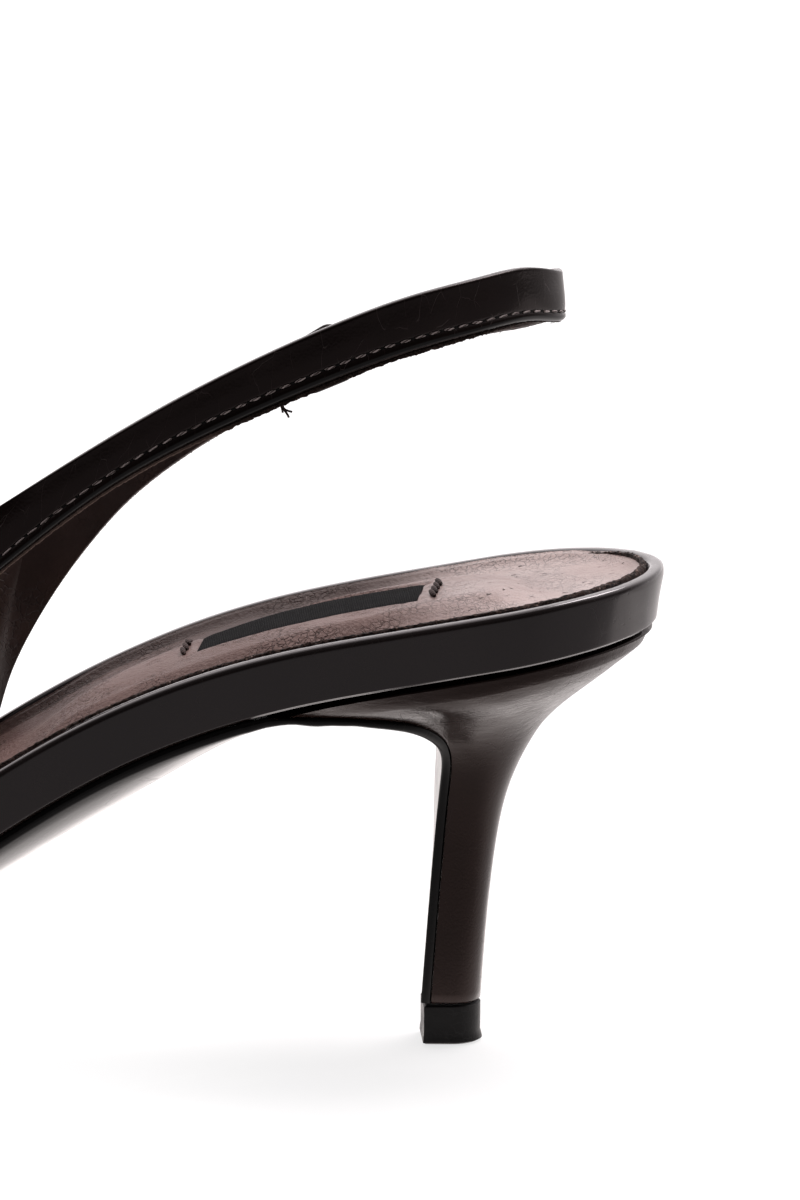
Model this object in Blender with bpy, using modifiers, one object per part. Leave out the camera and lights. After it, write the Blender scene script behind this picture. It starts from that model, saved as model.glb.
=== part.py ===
"""Right slingback shoe on a slim 65 mm heel, standing empty on its forefoot and heel tip.

Sizes are millimetres. Station is the distance forward from the back of the heel seat, out is towards
the inner (medial) side of the foot, up is the height over the floor. The finished part is in metres,
with +X to the toe, +Y to the inner side and its origin under the middle of its box.
"""

import math

import bmesh
import bpy
import numpy as np
from mathutils import Matrix, Vector

MM = 0.001
GAP = 0.3
HEEL_GAP = 0.4

# Driving sizes of the shoe
LENGTH = 246.0
HEEL_CAP = 26.0
TOE_CAP = 36.0
TREAD_BACK = 170.0
TREAD_FRONT = 190.0
TOE_SPRING = 6.6
MIDDLE_STATIONS, CAP_STATIONS = 24, 8
OUTSOLE_WALL = 1.6
BREAST_WALL = 1.05
UPPER_WALL = 1.8
INSOLE_WALL = 1.6
BEAD_WIDTH = 2.6
LIP_OVERLAP = 2.0
TOE_EASE = 0.7
TUCK_START, TUCK_END = 20.0, 8.0
HEEL_FRONT = 61.0
HEEL_SEAT_BACK = 1.7
HEEL_SEAT_HALF = 23.5
HEEL_LIP_HALF = 20.9
TOP_PIECE_HEIGHT = 6.0

# One row for each section of the last, from the heel to the toe
LAST_COLUMNS = ("station", "feather", "centre", "half_width", "sag", "rand")
LAST_ROWS = (
    (0, 73.9, 0.0, 24.8, 0.0, 8.2),
    (14, 72.1, 0.0, 24.9, 0.0, 8.5),
    (28, 69.9, 0.0, 25.0, 0.0, 8.6),
    (44, 67.3, 0.0, 24.7, 0.0, 8.6),
    (60, 64.1, -0.2, 23.5, 1.5, 8.6),
    (76, 59.0, -0.6, 21.8, 5.2, 8.6),
    (92, 51.5, -1.2, 20.6, 6.2, 8.6),
    (108, 41.8, -2.0, 21.2, 5.7, 8.6),
    (124, 31.4, -2.8, 24.8, 4.9, 8.4),
    (140, 21.3, -3.0, 30.4, 3.0, 8.0),
    (155, 13.2, -2.3, 35.2, 0.9, 7.6),
    (170, 9.4, -1.0, 37.4, 0.0, 7.5),
    (190, 9.4, 1.6, 35.2, 0.0, 7.5),
    (208, 9.4, 4.2, 29.6, 0.0, 7.5),
    (228, 9.4, 6.2, 24.4, 0.0, 7.5),
    (246, 9.4, 7.2, 22.6, 0.0, 7.5),
)

# Ribs of the upper, from the toe round to the back of the sling. Each runs from an edge to the top.
RIDGE_COLUMNS = ("feather_station", "top_station", "top_out", "top_up", "arc")
RIDGE_ROWS = (
    (246, 226.0, 5.6, 30.8, 90),
    (241.6, 221.5, 5.2, 32.6, 90),
    (235.5, 214.0, 4.4, 35.6, 90),
    (224, 203.0, 3.2, 39.8, 90),
    (208, 190.0, 1.6, 44.6, 90),
    (192, 176.0, 0.0, 49.6, 90),
)
MEDIAL_QUARTER = (
    (181, 171.0, 9.6, 50.8, 78),
    (169, 161.5, 16.8, 53.8, 66),
    (156, 148.5, 21.4, 59.0, 52),
    (142, 133.5, 23.8, 66.4, 40),
    (129, 118.0, 25.4, 75.9, 32),
)
LATERAL_QUARTER = (
    (181, 171.0, -9.6, 50.2, 78),
    (169, 161.5, -17.2, 51.9, 66),
    (155, 148.0, -22.6, 54.9, 54),
    (138, 132.0, -25.8, 59.8, 44),
    (120, 114.0, -27.6, 67.2, 36),
    (103, 97.0, -28.2, 76.4, 30),
)
SLING_COLUMNS = ("low_station", "low_out", "low_up", "top_station", "top_out", "top_up")
MEDIAL_SLING = (
    (126.3, 22.4, 38.0, 115.5, 25.7, 77.6),
    (122.6, 24.6, 48.2, 112.8, 26.0, 79.6),
    (117.0, 26.2, 60.0, 109.0, 26.3, 82.2),
    (109.5, 27.0, 70.0, 104.0, 26.5, 85.6),
    (100.6, 27.0, 77.8, 98.0, 26.6, 89.4),
    (86.0, 26.4, 88.8, 85.0, 26.3, 97.3),
    (71.0, 25.6, 97.0, 70.6, 25.5, 105.2),
    (56.0, 24.4, 103.4, 56.0, 24.3, 111.9),
    (41.0, 21.6, 108.6, 41.0, 21.5, 117.2),
    (29.0, 16.6, 111.2, 29.0, 16.5, 119.6),
    (20.4, 9.8, 112.0, 20.5, 9.7, 120.2),
)
LATERAL_SLING = (
    (100.5, -22.4, 51.0, 94.4, -28.2, 78.0),
    (96.5, -24.8, 58.6, 91.0, -28.1, 80.4),
    (91.0, -26.6, 66.8, 87.0, -27.9, 83.2),
    (84.0, -27.5, 75.4, 81.4, -27.5, 86.8),
    (76.0, -27.4, 82.8, 75.0, -27.0, 91.0),
    (64.0, -26.4, 90.8, 64.0, -26.2, 97.8),
    (51.0, -24.6, 97.0, 51.0, -24.5, 104.5),
    (38.0, -20.8, 102.2, 38.0, -20.7, 110.0),
    (27.0, -15.2, 106.2, 27.0, -15.1, 114.2),
    (19.8, -9.2, 108.4, 19.9, -9.1, 116.5),
)
SLING_BACK = (15.2, 0.0, 110.7, 15.5, 0.0, 118.5)
SLING_ARC = 24
RIB_FULLNESS = 0.88
RIDGE_FADE = 3
RIB_STEPS = 2
RIB_POINTS = 7

# Level sections of the heel, from its tip to the seat; each leans from its front to its back
HEEL_COLUMNS = ("front_up", "back_up", "front", "shoulder", "back", "front_half", "half")
HEEL_ROWS = (
    (6.3, 6.3, 35.2, 32.0, 27.7, 4.6, 5.0),
    (19.4, 19.4, 34.2, 31.2, 26.7, 4.8, 5.2),
    (31.8, 31.8, 33.2, 30.2, 25.2, 5.4, 5.8),
    (40.0, 40.0, 32.6, 29.0, 23.2, 6.6, 7.2),
    (45.0, 46.2, 32.5, 28.0, 20.3, 8.0, 9.2),
    (48.6, 51.0, 34.0, 27.2, 16.8, 10.0, 12.2),
    (51.3, 55.2, 37.6, 26.6, 11.9, 12.6, 16.4),
    (52.7, 59.0, 42.8, 26.4, 7.0, 15.2, 20.4),
    (53.6, 62.2, 51.0, 26.2, 3.0, 18.6, 22.8),
)
TOP_PIECE_ROWS = (
    (0.0, 0.0, 36.7, 32.2, 27.5, 4.9, 5.2),
    (0.8, 0.8, 36.6, 32.2, 27.8, 4.8, 5.0),
    (TOP_PIECE_HEIGHT, TOP_PIECE_HEIGHT, 36.6, 32.0, 27.7, 4.8, 5.0),
)
HEEL_SIDE_POINTS = 5
HEEL_BACK_POINTS = 10
HEEL_ACROSS = 7

# The rand's section: how far in from its wall and how far over the feather line each corner lies
RAND_WALL = ((0.4, 0.9), (0.0, 3.6))
RAND_BEAD = ((0.0, -2.4), (0.5, -0.9), (1.5, -0.1), (2.3, -0.35), (BEAD_WIDTH, -1.1))
RAND_FOOT_INSET = 1.2
RAND_HEEL_TAPER = 1.2
UNDERSIDE_SHARES = (0.0, 0.08, 0.2, 0.4, 0.66, 1.0)
UNDERSIDE_CURVE = 2.2
INSOLE_SHARES = (0.0, 0.06, 0.16, 0.3, 0.5, 0.75, 1.0)
SEAT_EDGE = -1.5
SEAT_DISH = 1.8
DISH_WIDTH = 6.0

# Padding and label recess of the insole
PAD_HEIGHT = 1.3
PAD_BACK, PAD_FRONT = 17.0, 98.0
PAD_EDGE = 7.0
LABEL_BACK, LABEL_FRONT = 35.0, 72.5
LABEL_IN, LABEL_OUT = 8.0, -5.0
LABEL_DEPTH = 0.7

# Buckle on the outer side of the sling and the strap's free end
BUCKLE_STATION = 51.0
BUCKLE_LENGTH, BUCKLE_HEIGHT, BUCKLE_WIRE = 8.6, 8.6, 1.2
BUCKLE_RISE, BUCKLE_CORNER = 0.25, 1.6
PRONG_WIRE = 1.0
PRONG_COLUMNS = ("along", "share_of_bar_height")
PRONG_ROWS = ((-0.8, 0.52), (-2.6, 0.86), (-5.2, 1.0))
TAIL_BACK, TAIL_FRONT = 51.8, 74.0
TAIL_HALF, TAIL_POINT = 3.1, 4.0
TAIL_WALL = 1.3
TAIL_HUMP = 3.0
TAIL_ACROSS = (-1.0, -0.5, 0.0, 0.5, 1.0)

# Colour, roughness and metallic value of each piece
FINISHES = {
    "upper": ((0.022, 0.012, 0.010), 0.22, 0.0),
    "strap_tail": ((0.022, 0.012, 0.010), 0.22, 0.0),
    "wrapped_midsole": ((0.026, 0.014, 0.012), 0.24, 0.0),
    "heel": ((0.045, 0.030, 0.027), 0.36, 0.0),
    "insole": ((0.150, 0.098, 0.082), 0.62, 0.0),
    "outsole": ((0.008, 0.008, 0.008), 0.25, 0.0),
    "heel_top_piece": ((0.012, 0.012, 0.013), 0.55, 0.0),
    "buckle_frame": ((0.180, 0.160, 0.140), 0.30, 1.0),
    "buckle_prong": ((0.180, 0.160, 0.140), 0.30, 1.0),
}


def spline(xs, ys, start_slope=None, end_slope=None):
    """Cubic curve through the points, straight at an end unless a slope is given there."""
    xs, ys = np.asarray(xs, float), np.asarray(ys, float)
    count, steps = len(xs), np.diff(xs)
    slopes = np.diff(ys) / steps
    rows, sums = np.zeros((count, count)), np.zeros(count)
    for i in range(1, count - 1):
        rows[i, i - 1 : i + 2] = steps[i], 2 * (steps[i - 1] + steps[i]), steps[i - 1]
        sums[i] = 3 * (steps[i] * slopes[i - 1] + steps[i - 1] * slopes[i])
    for end, beside, slope, given in ((0, 1, slopes[0], start_slope), (-1, -2, slopes[-1], end_slope)):
        rows[end, end], rows[end, beside] = (2, 1) if given is None else (1, 0)
        sums[end] = 3 * slope if given is None else given
    tangents = np.linalg.solve(rows, sums)

    def value(x):
        x = np.clip(np.asarray(x, float), xs[0], xs[-1])
        i = np.clip(np.searchsorted(xs, x) - 1, 0, count - 2)
        h = steps[i]
        t = (x - xs[i]) / h
        start = ys[i] + h * t * (1 - t) ** 2 * tangents[i] - h * t**2 * (1 - t) * tangents[i + 1]
        return start + (ys[i + 1] - ys[i]) * t**2 * (3 - 2 * t)

    return value


def last_column(name, **slopes):
    stations = [row[0] for row in LAST_ROWS]
    return spline(stations, [row[LAST_COLUMNS.index(name)] for row in LAST_ROWS], **slopes)


CENTRE = last_column("centre")
HALF_WIDTH = last_column("half_width")
SAG = last_column("sag")
RAND = last_column("rand")
BACK_ROWS = [row for row in LAST_ROWS if row[0] <= TREAD_BACK]
BACK_PROFILE = spline([row[0] for row in BACK_ROWS], [row[1] for row in BACK_ROWS], end_slope=0.0)


def feather_up(station):
    """Height of the feather line: heel seat, waist, level tread, then toe spring."""
    spring = TOE_SPRING * (np.maximum(station - TREAD_FRONT, 0) / (LENGTH - TREAD_FRONT)) ** 2
    return BACK_PROFILE(np.minimum(station, TREAD_BACK)) + spring


def steepness(station):
    """How much longer a thickness square to the sole is when measured straight up."""
    step = 0.05
    slope = (feather_up(station + step) - feather_up(station - step)) / (2 * step)
    return np.sqrt(1 + slope**2)


def end_caps(station):
    heel = np.clip((HEEL_CAP - station) / HEEL_CAP, 0, 1)
    toe = np.clip((station - LENGTH + TOE_CAP) / TOE_CAP, 0, 1)
    return np.sqrt(1 - heel**2) * np.sqrt(1 - toe**2)


def stations_heel_to_toe():
    turns = np.linspace(0, math.pi / 2, CAP_STATIONS)
    heel = HEEL_CAP * (1 - np.cos(turns))
    toe = LENGTH - TOE_CAP + TOE_CAP * np.sin(turns)
    middle = np.linspace(HEEL_CAP, LENGTH - TOE_CAP, MIDDLE_STATIONS)
    return np.concatenate([heel[:-1], middle, toe[1:]])


def outline(inset):
    """(medial, lateral) plan lines of the rand's wall from heel to toe, moved in by inset."""
    stations = stations_heel_to_toe()
    half = HALF_WIDTH(stations) * end_caps(stations)
    medial = np.stack([stations, CENTRE(stations) + half], 1)
    lateral = np.stack([stations, CENTRE(stations) - half], 1)
    loop = np.concatenate([medial, lateral[-2:0:-1]])
    along = np.roll(loop, -1, axis=0) - np.roll(loop, 1, axis=0)
    along /= np.linalg.norm(along, axis=1)[:, None]
    inward = np.stack([along[:, 1], -along[:, 0]], 1)
    inset = np.broadcast_to(np.asarray(inset, float), len(stations))
    loop += inward * np.concatenate([inset, inset[-2:0:-1]])[:, None]
    return loop[: len(stations)], np.concatenate([loop[:1], loop[: len(stations) - 2 : -1]])


def loop_of(inset):
    medial, lateral = outline(inset)
    return np.concatenate([medial, lateral[-2:0:-1]])


def spine_of(plan):
    """The point on the middle line that each outline point, and the one across from it, runs in to."""
    across = plan[-np.arange(len(plan)) % len(plan), 0]
    station = np.clip((plan[:, 0] + across) / 2, HEEL_CAP, LENGTH - TOE_CAP)
    return np.stack([station, CENTRE(station)], 1)


def lifted(plan, over):
    """Plan points raised over the feather line by a thickness square to the sole."""
    up = feather_up(plan[:, 0]) + over * steepness(plan[:, 0])
    return np.column_stack([plan, up])


def underside(plan, share):
    """Depth of the rand's rounded underside at a share of the way from its edge to the middle."""
    behind_tread = np.minimum(plan[:, 0], TREAD_BACK)
    sag = np.maximum(SAG(behind_tread), 0)
    return -RAND(behind_tread) - sag * (1 - (1 - share) ** UNDERSIDE_CURVE)


def seat(plan, share):
    """Height of the dished platform top under the insole, over the feather line."""
    dish_share = DISH_WIDTH / HALF_WIDTH(plan[:, 0])
    run = np.clip(share / dish_share, 0, 1)
    return SEAT_EDGE - SEAT_DISH * np.sin(run * math.pi / 2)


def pad(plan):
    """Height of the padding sewn under the insole, fading out towards its edges."""
    half = HALF_WIDTH(plan[:, 0]) * end_caps(plan[:, 0]) - BEAD_WIDTH - DISH_WIDTH / 2
    side = (half - np.abs(plan[:, 1] - CENTRE(plan[:, 0]))) / PAD_EDGE
    ends = np.minimum(plan[:, 0] - PAD_BACK, PAD_FRONT - plan[:, 0]) / PAD_EDGE
    fade = np.clip(np.minimum(side, ends), 0, 1)
    return PAD_HEIGHT * fade**2 * (3 - 2 * fade)


def mesh_object(name, build, collection, smooth_angle=40):
    """A named object in metres from a bmesh in millimetres."""
    bmesh.ops.remove_doubles(build, verts=build.verts, dist=0.002)
    loose = [f for f in build.faces if f.calc_area() < 1e-9]
    bmesh.ops.delete(build, geom=loose, context="FACES_ONLY")
    bmesh.ops.recalc_face_normals(build, faces=build.faces)
    middle = sum((v.co for v in build.verts), Vector()) / len(build.verts)
    if sum(f.normal.dot(f.calc_center_median() - middle) * f.calc_area() for f in build.faces) < 0:
        bmesh.ops.reverse_faces(build, faces=build.faces)
    mesh = bpy.data.meshes.new(name)
    build.to_mesh(mesh)
    build.free()
    mesh.transform(Matrix.Scale(MM, 4) @ Matrix.Translation(-ORIGIN))
    mesh.shade_smooth()
    mesh.set_sharp_from_angle(angle=math.radians(smooth_angle))
    obj = bpy.data.objects.new(name, mesh)
    collection.objects.link(obj)
    return obj


def part_object(name, build):
    obj = mesh_object(name, build, PARTS)
    obj.data.materials.append(make_material(name, *FINISHES[name]))
    return obj


def loft(build, rings, closed=True, capped=False):
    """Skins rows of points with faces; closed rows join end to end, and caps fill the first and last."""
    rows = [[build.verts.new(Vector(p)) for p in ring] for ring in rings]
    for row, following in zip(rows[:-1], rows[1:]):
        for i in range(len(row) - (not closed)):
            j = (i + 1) % len(row)
            build.faces.new((row[i], row[j], following[j], following[i]))
    if capped:
        build.faces.new(rows[0])
        build.faces.new(rows[-1])
    return rows


def shell(build, upper_rows, lower_rows):
    """A closed plate between two sheets of the same rows."""
    sheets = [loft(build, rows, closed=False) for rows in (upper_rows, lower_rows)]
    around = [
        rows[0][:-1] + [r[-1] for r in rows[:-1]] + rows[-1][:0:-1] + [r[0] for r in rows[:0:-1]]
        for rows in sheets
    ]
    for i in range(len(around[0])):
        j = (i + 1) % len(around[0])
        build.faces.new((around[0][i], around[0][j], around[1][j], around[1][i]))


def thickened(obj, wall):
    solid = obj.modifiers.new("wall", "SOLIDIFY")
    solid.thickness = wall * MM
    solid.offset = -1.0
    solid.use_even_offset = True
    solid.use_quality_normals = True
    return obj


def make_rand():
    """Platform wrapped in leather: rounded underside, upright wall, rolled bead and a dished top."""
    heel_taper = RAND_HEEL_TAPER * (1 - end_caps(np.minimum(stations_heel_to_toe(), HEEL_CAP)))
    foot = loop_of(RAND_FOOT_INSET + heel_taper)
    rings = []
    for share in reversed(UNDERSIDE_SHARES):
        plan = foot + (spine_of(foot) - foot) * share
        rings.append(lifted(plan, underside(plan, share)))
    for inset, over_foot in RAND_WALL:
        plan = loop_of(inset + heel_taper * (1 - over_foot / RAND_WALL[-1][1] * 0.5))
        rings.append(lifted(plan, over_foot - RAND(plan[:, 0])))
    for inset, over in RAND_BEAD:
        rings.append(lifted(loop_of(inset), over))
    edge = loop_of(BEAD_WIDTH + GAP)
    for share in INSOLE_SHARES:
        plan = edge + (spine_of(edge) - edge) * share
        rings.append(lifted(plan, seat(plan, share)))
    build = bmesh.new()
    loft(build, rings)
    return part_object("wrapped_midsole", build)


def smooth_step(value, start, end):
    run = np.clip((value - start) / (end - start), 0, 1)
    return run * run * (3 - 2 * run)


def make_insole():
    """Dished insole with padding, drawn in where the upper comes down between it and the bead."""
    stations = stations_heel_to_toe()
    room = UPPER_WALL + GAP * 3 + TOE_EASE * (1 - end_caps(np.maximum(stations, HEEL_CAP)))
    sides = []
    for index, junction in enumerate((MEDIAL_QUARTER[-1][0], LATERAL_QUARTER[-1][0])):
        drawn_in = smooth_step(stations, junction - TUCK_START, junction - TUCK_END)
        inset = BEAD_WIDTH + GAP + room * drawn_in
        sides.append(outline(inset)[index])
    edge = np.concatenate([sides[0], sides[1][-2:0:-1]])
    build = bmesh.new()
    under, over = [], []
    for share in INSOLE_SHARES:
        plan = edge + (spine_of(edge) - edge) * share
        under.append(lifted(plan, seat(plan, share) + GAP))
        over.append(lifted(plan, seat(plan, share) + GAP + INSOLE_WALL + pad(plan)))
    loft(build, under[::-1] + over)
    insole = part_object("insole", build)
    cut = insole.modifiers.new("label recess", "BOOLEAN")
    cut.operation = "DIFFERENCE"
    cut.solver = "EXACT"
    cut.object = make_label_cutter()
    return insole


def make_label_cutter():
    """Block that follows the padding, for the shallow recess that holds the sewn label."""
    stations = np.linspace(LABEL_BACK, LABEL_FRONT, 9)
    floor, roof = [], []
    for station in stations:
        plan = np.array([(station, out) for out in np.linspace(LABEL_IN, LABEL_OUT, 5)])
        top = seat(plan, 1.0) + GAP + INSOLE_WALL + PAD_HEIGHT
        floor.append(lifted(plan, top - LABEL_DEPTH))
        roof.append(lifted(plan, top + LABEL_DEPTH * 4))
    build = bmesh.new()
    shell(build, roof, floor)
    cutter = mesh_object("label_recess_cutter", build, CUTTERS)
    cutter.hide_render = True
    cutter.display_type = "WIRE"
    return cutter


def heel_ring(row, columns=HEEL_COLUMNS):
    """One section of the heel: straight breast, straight sides to the shoulder, round back."""
    at = dict(zip(columns, row))
    side_run = np.linspace(0, 1, HEEL_SIDE_POINTS, endpoint=False)
    turn = np.linspace(0, math.pi, HEEL_BACK_POINTS * 2 + 1)
    side = [
        (at["front"] + (at["shoulder"] - at["front"]) * t,
         at["front_half"] + (at["half"] - at["front_half"]) * math.sin(t * math.pi / 2))
        for t in side_run
    ]
    back = [
        (at["shoulder"] - (at["shoulder"] - at["back"]) * math.sin(a), at["half"] * math.cos(a))
        for a in turn
    ]
    breast = [(at["front"], out) for out in np.linspace(-1, 1, HEEL_ACROSS)[1:-1] * at["front_half"]]
    plan = np.array(side + back + [(s, -out) for s, out in reversed(side)] + breast)
    run = (plan[:, 0] - at["front"]) / (at["back"] - at["front"])
    return np.column_stack([plan, at["front_up"] + (at["back_up"] - at["front_up"]) * run])


def heel_sections():
    """The heel's table with a smoothed section added between each two rows."""
    table = np.array(HEEL_ROWS)
    index = np.arange(len(table))
    steps = np.linspace(0, len(table) - 1, len(table) * 2 - 1)
    return np.column_stack([spline(index, column)(steps) for column in table.T])


def heel_seat_ring():
    """Top of the heel, lying under the rand all the way round to the breast line."""
    row = dict(zip(HEEL_COLUMNS, HEEL_ROWS[-1]))
    row.update(front=HEEL_FRONT, back=HEEL_SEAT_BACK, front_half=HEEL_LIP_HALF, half=HEEL_SEAT_HALF)
    plan = heel_ring([row[name] for name in HEEL_COLUMNS])[:, :2]
    plan[:, 1] += CENTRE(plan[:, 0])
    return under_rand(plan)


def under_rand(plan):
    """Points just under the rand, following its rounded underside."""
    foot_half = HALF_WIDTH(plan[:, 0]) - RAND_FOOT_INSET
    share = np.clip(1 - np.abs(plan[:, 1] - CENTRE(plan[:, 0])) / foot_half, 0, 1)
    return lifted(plan, underside(plan, share) - HEEL_GAP)


def make_heel():
    """Leather-covered heel: a slim column that flares out to the seat, with a lip under the waist."""
    rings = [heel_ring(row) for row in heel_sections()] + [heel_seat_ring()]
    build = bmesh.new()
    build.faces.new(loft(build, rings)[0])
    rim = rings[-1][: 2 - HEEL_ACROSS, :2]
    seat_rows = []
    for i in range(len(rim) // 2 + 1):
        seat_rows.append(under_rand(np.linspace(rim[i], rim[-1 - i], HEEL_ACROSS)))
    loft(build, seat_rows, closed=False)
    return part_object("heel", build)


def make_top_piece():
    build = bmesh.new()
    loft(build, [heel_ring(row) for row in TOP_PIECE_ROWS], capped=True)
    return part_object("heel_top_piece", build)


def outsole_rows():
    """Rows across the outsole's top face from the toe back to the heel's lip, and the way down from each."""
    medial, lateral = outline(RAND_FOOT_INSET)
    shares = np.array(UNDERSIDE_SHARES + UNDERSIDE_SHARES[-2::-1])
    middle = len(UNDERSIDE_SHARES) - 1
    sheet, normals = [], []
    for inner, outer in reversed(list(zip(medial, lateral))):
        if inner[0] < HEEL_FRONT + LIP_OVERLAP:
            break
        across = np.concatenate([shares[: middle + 1], 2 - shares[middle + 1 :]]) / 2
        plan = inner + (outer - inner) * across[:, None]
        sheet.append(lifted(plan, underside(plan, shares) - GAP))
        ahead, behind = feather_up(plan[middle, 0] + 0.05), feather_up(plan[middle, 0] - 0.05)
        slope = float(ahead - behind) / 0.1
        normals.append(np.array([slope, 0, -1]) / math.hypot(slope, 1))
    return sheet, normals


def breast_rows():
    """Rows of the outsole's flap along the heel's lip and down its breast, clear of the heel."""
    rows = heel_sections()[::-1]
    lip = heel_seat_ring()[0]
    line = np.vstack([lip, np.column_stack([rows[:, 2], rows[:, 5], rows[:, 0]])])
    ahead = np.gradient(line, axis=0)
    sheet, normals = [], []
    for i, (front, half, up) in enumerate(line):
        normal = np.array([-ahead[i, 2], 0, ahead[i, 0]]) / math.hypot(ahead[i, 0], ahead[i, 2])
        outs = [half * (1 - share) for share in UNDERSIDE_SHARES]
        outs += [-out for out in reversed(outs[:-1])]
        row = np.array([(front, out, up) for out in outs])
        if i == 0:
            row[:, 2] = under_rand(row[:, :2])[:, 2]
        sheet.append(row + normal * GAP)
        normals.append(normal)
    return sheet, normals


def make_outsole():
    """Thin leather sole from the toe to the waist, bent down the heel's breast to the top piece."""
    front, front_normals = outsole_rows()
    flap, flap_normals = breast_rows()
    top = front + flap
    walls = [OUTSOLE_WALL] * len(front) + [BREAST_WALL] * len(flap)
    normals = front_normals + flap_normals
    bottom = [row + normal * wall for row, normal, wall in zip(top, normals, walls)]
    bottom = [np.maximum(row, (-LENGTH, -LENGTH, 0.0)) for row in bottom]
    build = bmesh.new()
    shell(build, top, bottom)
    return part_object("outsole", build)


def feather_point(station, side):
    """Foot of the upper on the platform, at a station, on the medial (1) or lateral (-1) side."""
    medial, lateral = outline(BEAD_WIDTH + GAP * 2)
    line = medial if side > 0 else lateral
    order = np.argsort(line[:, 0])
    run = LENGTH - BEAD_WIDTH - GAP * 2
    out = np.interp(np.minimum(station, run), line[order, 0], line[order, 1])
    plan = np.array([(min(station, run), out)])
    return lifted(plan, SEAT_EDGE + GAP)[0]


def upper_ribs(side):
    """Bottom point, top point and arc of each rib of one side, from the toe to the back."""
    quarter, sling = (
        (MEDIAL_QUARTER, MEDIAL_SLING) if side > 0 else (LATERAL_QUARTER, LATERAL_SLING)
    )
    ribs = [(*feather_point(row[0], side), *row[1:]) for row in RIDGE_ROWS + quarter]
    ribs += [(*row, SLING_ARC) for row in sling + (SLING_BACK,)]
    return np.array(ribs)


def rib_points(rib, points, fall=0.0):
    """A rib's curve: upright at its foot, rounding over to run level with the falling ridge at its top."""
    foot, top, arc = rib[:3], rib[3:6], math.radians(min(rib[6], RIDGE_ROWS[0][4]))
    turn = np.linspace(0, arc, points)
    lean = np.maximum(np.cos(turn), 0) ** RIB_FULLNESS
    across = (1 - lean) / (1 - lean[-1])
    rise = np.sin(turn) ** RIB_FULLNESS / math.sin(arc) ** RIB_FULLNESS
    curve = foot + (top - foot) * np.column_stack([across, across, rise])
    curve[:, 2] -= rise * fall * (curve[:, 0] - top[0])
    return curve


def two_runs(values, corner, start_slope=None, end_slope=None):
    """Smooth curve through a column of the ribs, in two runs that meet at a corner."""
    index = np.arange(len(values))
    first = spline(index[: corner + 1], values[: corner + 1])
    second = spline(index[corner:], values[corner:], start_slope, end_slope)
    return lambda t: float(first(t) if t <= corner else second(t))


def upper_side(side, steps=RIB_STEPS, points=RIB_POINTS):
    """Rows of points over one side of the upper, with the ribs smoothed between the table's rows."""
    ribs = upper_ribs(side)
    throat = len(RIDGE_ROWS) - 1
    junction = throat + len(MEDIAL_QUARTER if side > 0 else LATERAL_QUARTER)
    columns = [two_runs(ribs[:, k], junction, None, end) for k, end in ((0, 0), (1, None), (2, 0))]
    columns += [two_runs(ribs[:, k], throat, end, end) for k, end in ((3, 0), (4, None), (5, 0))]
    columns.append(spline(np.arange(len(ribs)), ribs[:, 6]))
    rows = []
    for t in np.linspace(0, len(ribs) - 1, (len(ribs) - 1) * steps + 1):
        rib = np.array([float(c(t)) for c in columns])
        if t <= junction:
            rib[:3] = feather_point(rib[0], side)
        behind, ahead = np.clip([min(t, throat) - 0.1, min(t, throat) + 0.1], 0, throat)
        run = columns[3](behind) - columns[3](ahead)
        fall = (columns[5](ahead) - columns[5](behind)) / run
        fade = 1 - smooth_step(t, throat, throat + RIDGE_FADE)
        rows.append(rib_points(rib, points, fall * fade))
    return rows


def make_upper():
    """Vamp, quarters and sling as one open wall, joined along the toe's ridge and at the back."""
    build = bmesh.new()
    for side in (1, -1):
        rows = upper_side(side)
        loft(build, rows, closed=False)
    upper = part_object("upper", build)
    return thickened(upper, UPPER_WALL)


def sling_frame(station):
    """Middle of the lateral sling's outer face at a station, with its forward, up and outward axes."""
    rows = np.array(LATERAL_SLING)
    rows = rows[np.argsort(rows[:, 0])]
    low = [spline(rows[:, 0], rows[:, k]) for k in (0, 1, 2)]
    top = [spline(rows[:, 0], rows[:, k]) for k in (3, 4, 5)]

    def middle(s):
        return np.array([(float(a(s)) + float(b(s))) / 2 for a, b in zip(low, top)])

    def across(s):
        return np.array([float(b(s)) - float(a(s)) for a, b in zip(low, top)])

    forward = Vector(middle(station + 1) - middle(station - 1)).normalized()
    up = Vector(across(station))
    up = (up - forward * up.dot(forward)).normalized()
    outward = up.cross(forward)
    if outward.y > 0:
        outward = -outward
    return Vector(middle(station)), forward, up, outward


def sling_place(station, name):
    """An empty on the sling's outer face: X forward along the strap, Y up across it, Z outwards."""
    middle, forward, up, outward = sling_frame(station)
    empty = bpy.data.objects.new(name, None)
    empty.matrix_world = Matrix.Translation((middle - ORIGIN) * MM) @ Matrix(
        (forward, up, forward.cross(up))
    ).transposed().to_4x4()
    PARTS.objects.link(empty)
    return empty, (1 if forward.cross(up).dot(outward) > 0 else -1)


def wire(name, points, closed, depth, parent):
    """A round wire along hand-placed points, in millimetres of its parent's axes."""
    curve = bpy.data.curves.new(name, "CURVE")
    curve.dimensions = "3D"
    curve.bevel_depth = depth * MM
    curve.bevel_resolution = 2
    curve.use_fill_caps = not closed
    line = curve.splines.new("POLY")
    line.points.add(len(points) - 1)
    for point, place in zip(line.points, points):
        point.co = (*(Vector(place) * MM), 1)
    line.use_cyclic_u = closed
    obj = bpy.data.objects.new(name, curve)
    obj.data.materials.append(make_material(name, *FINISHES[name]))
    obj.parent = parent
    PARTS.objects.link(obj)
    return obj


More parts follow.
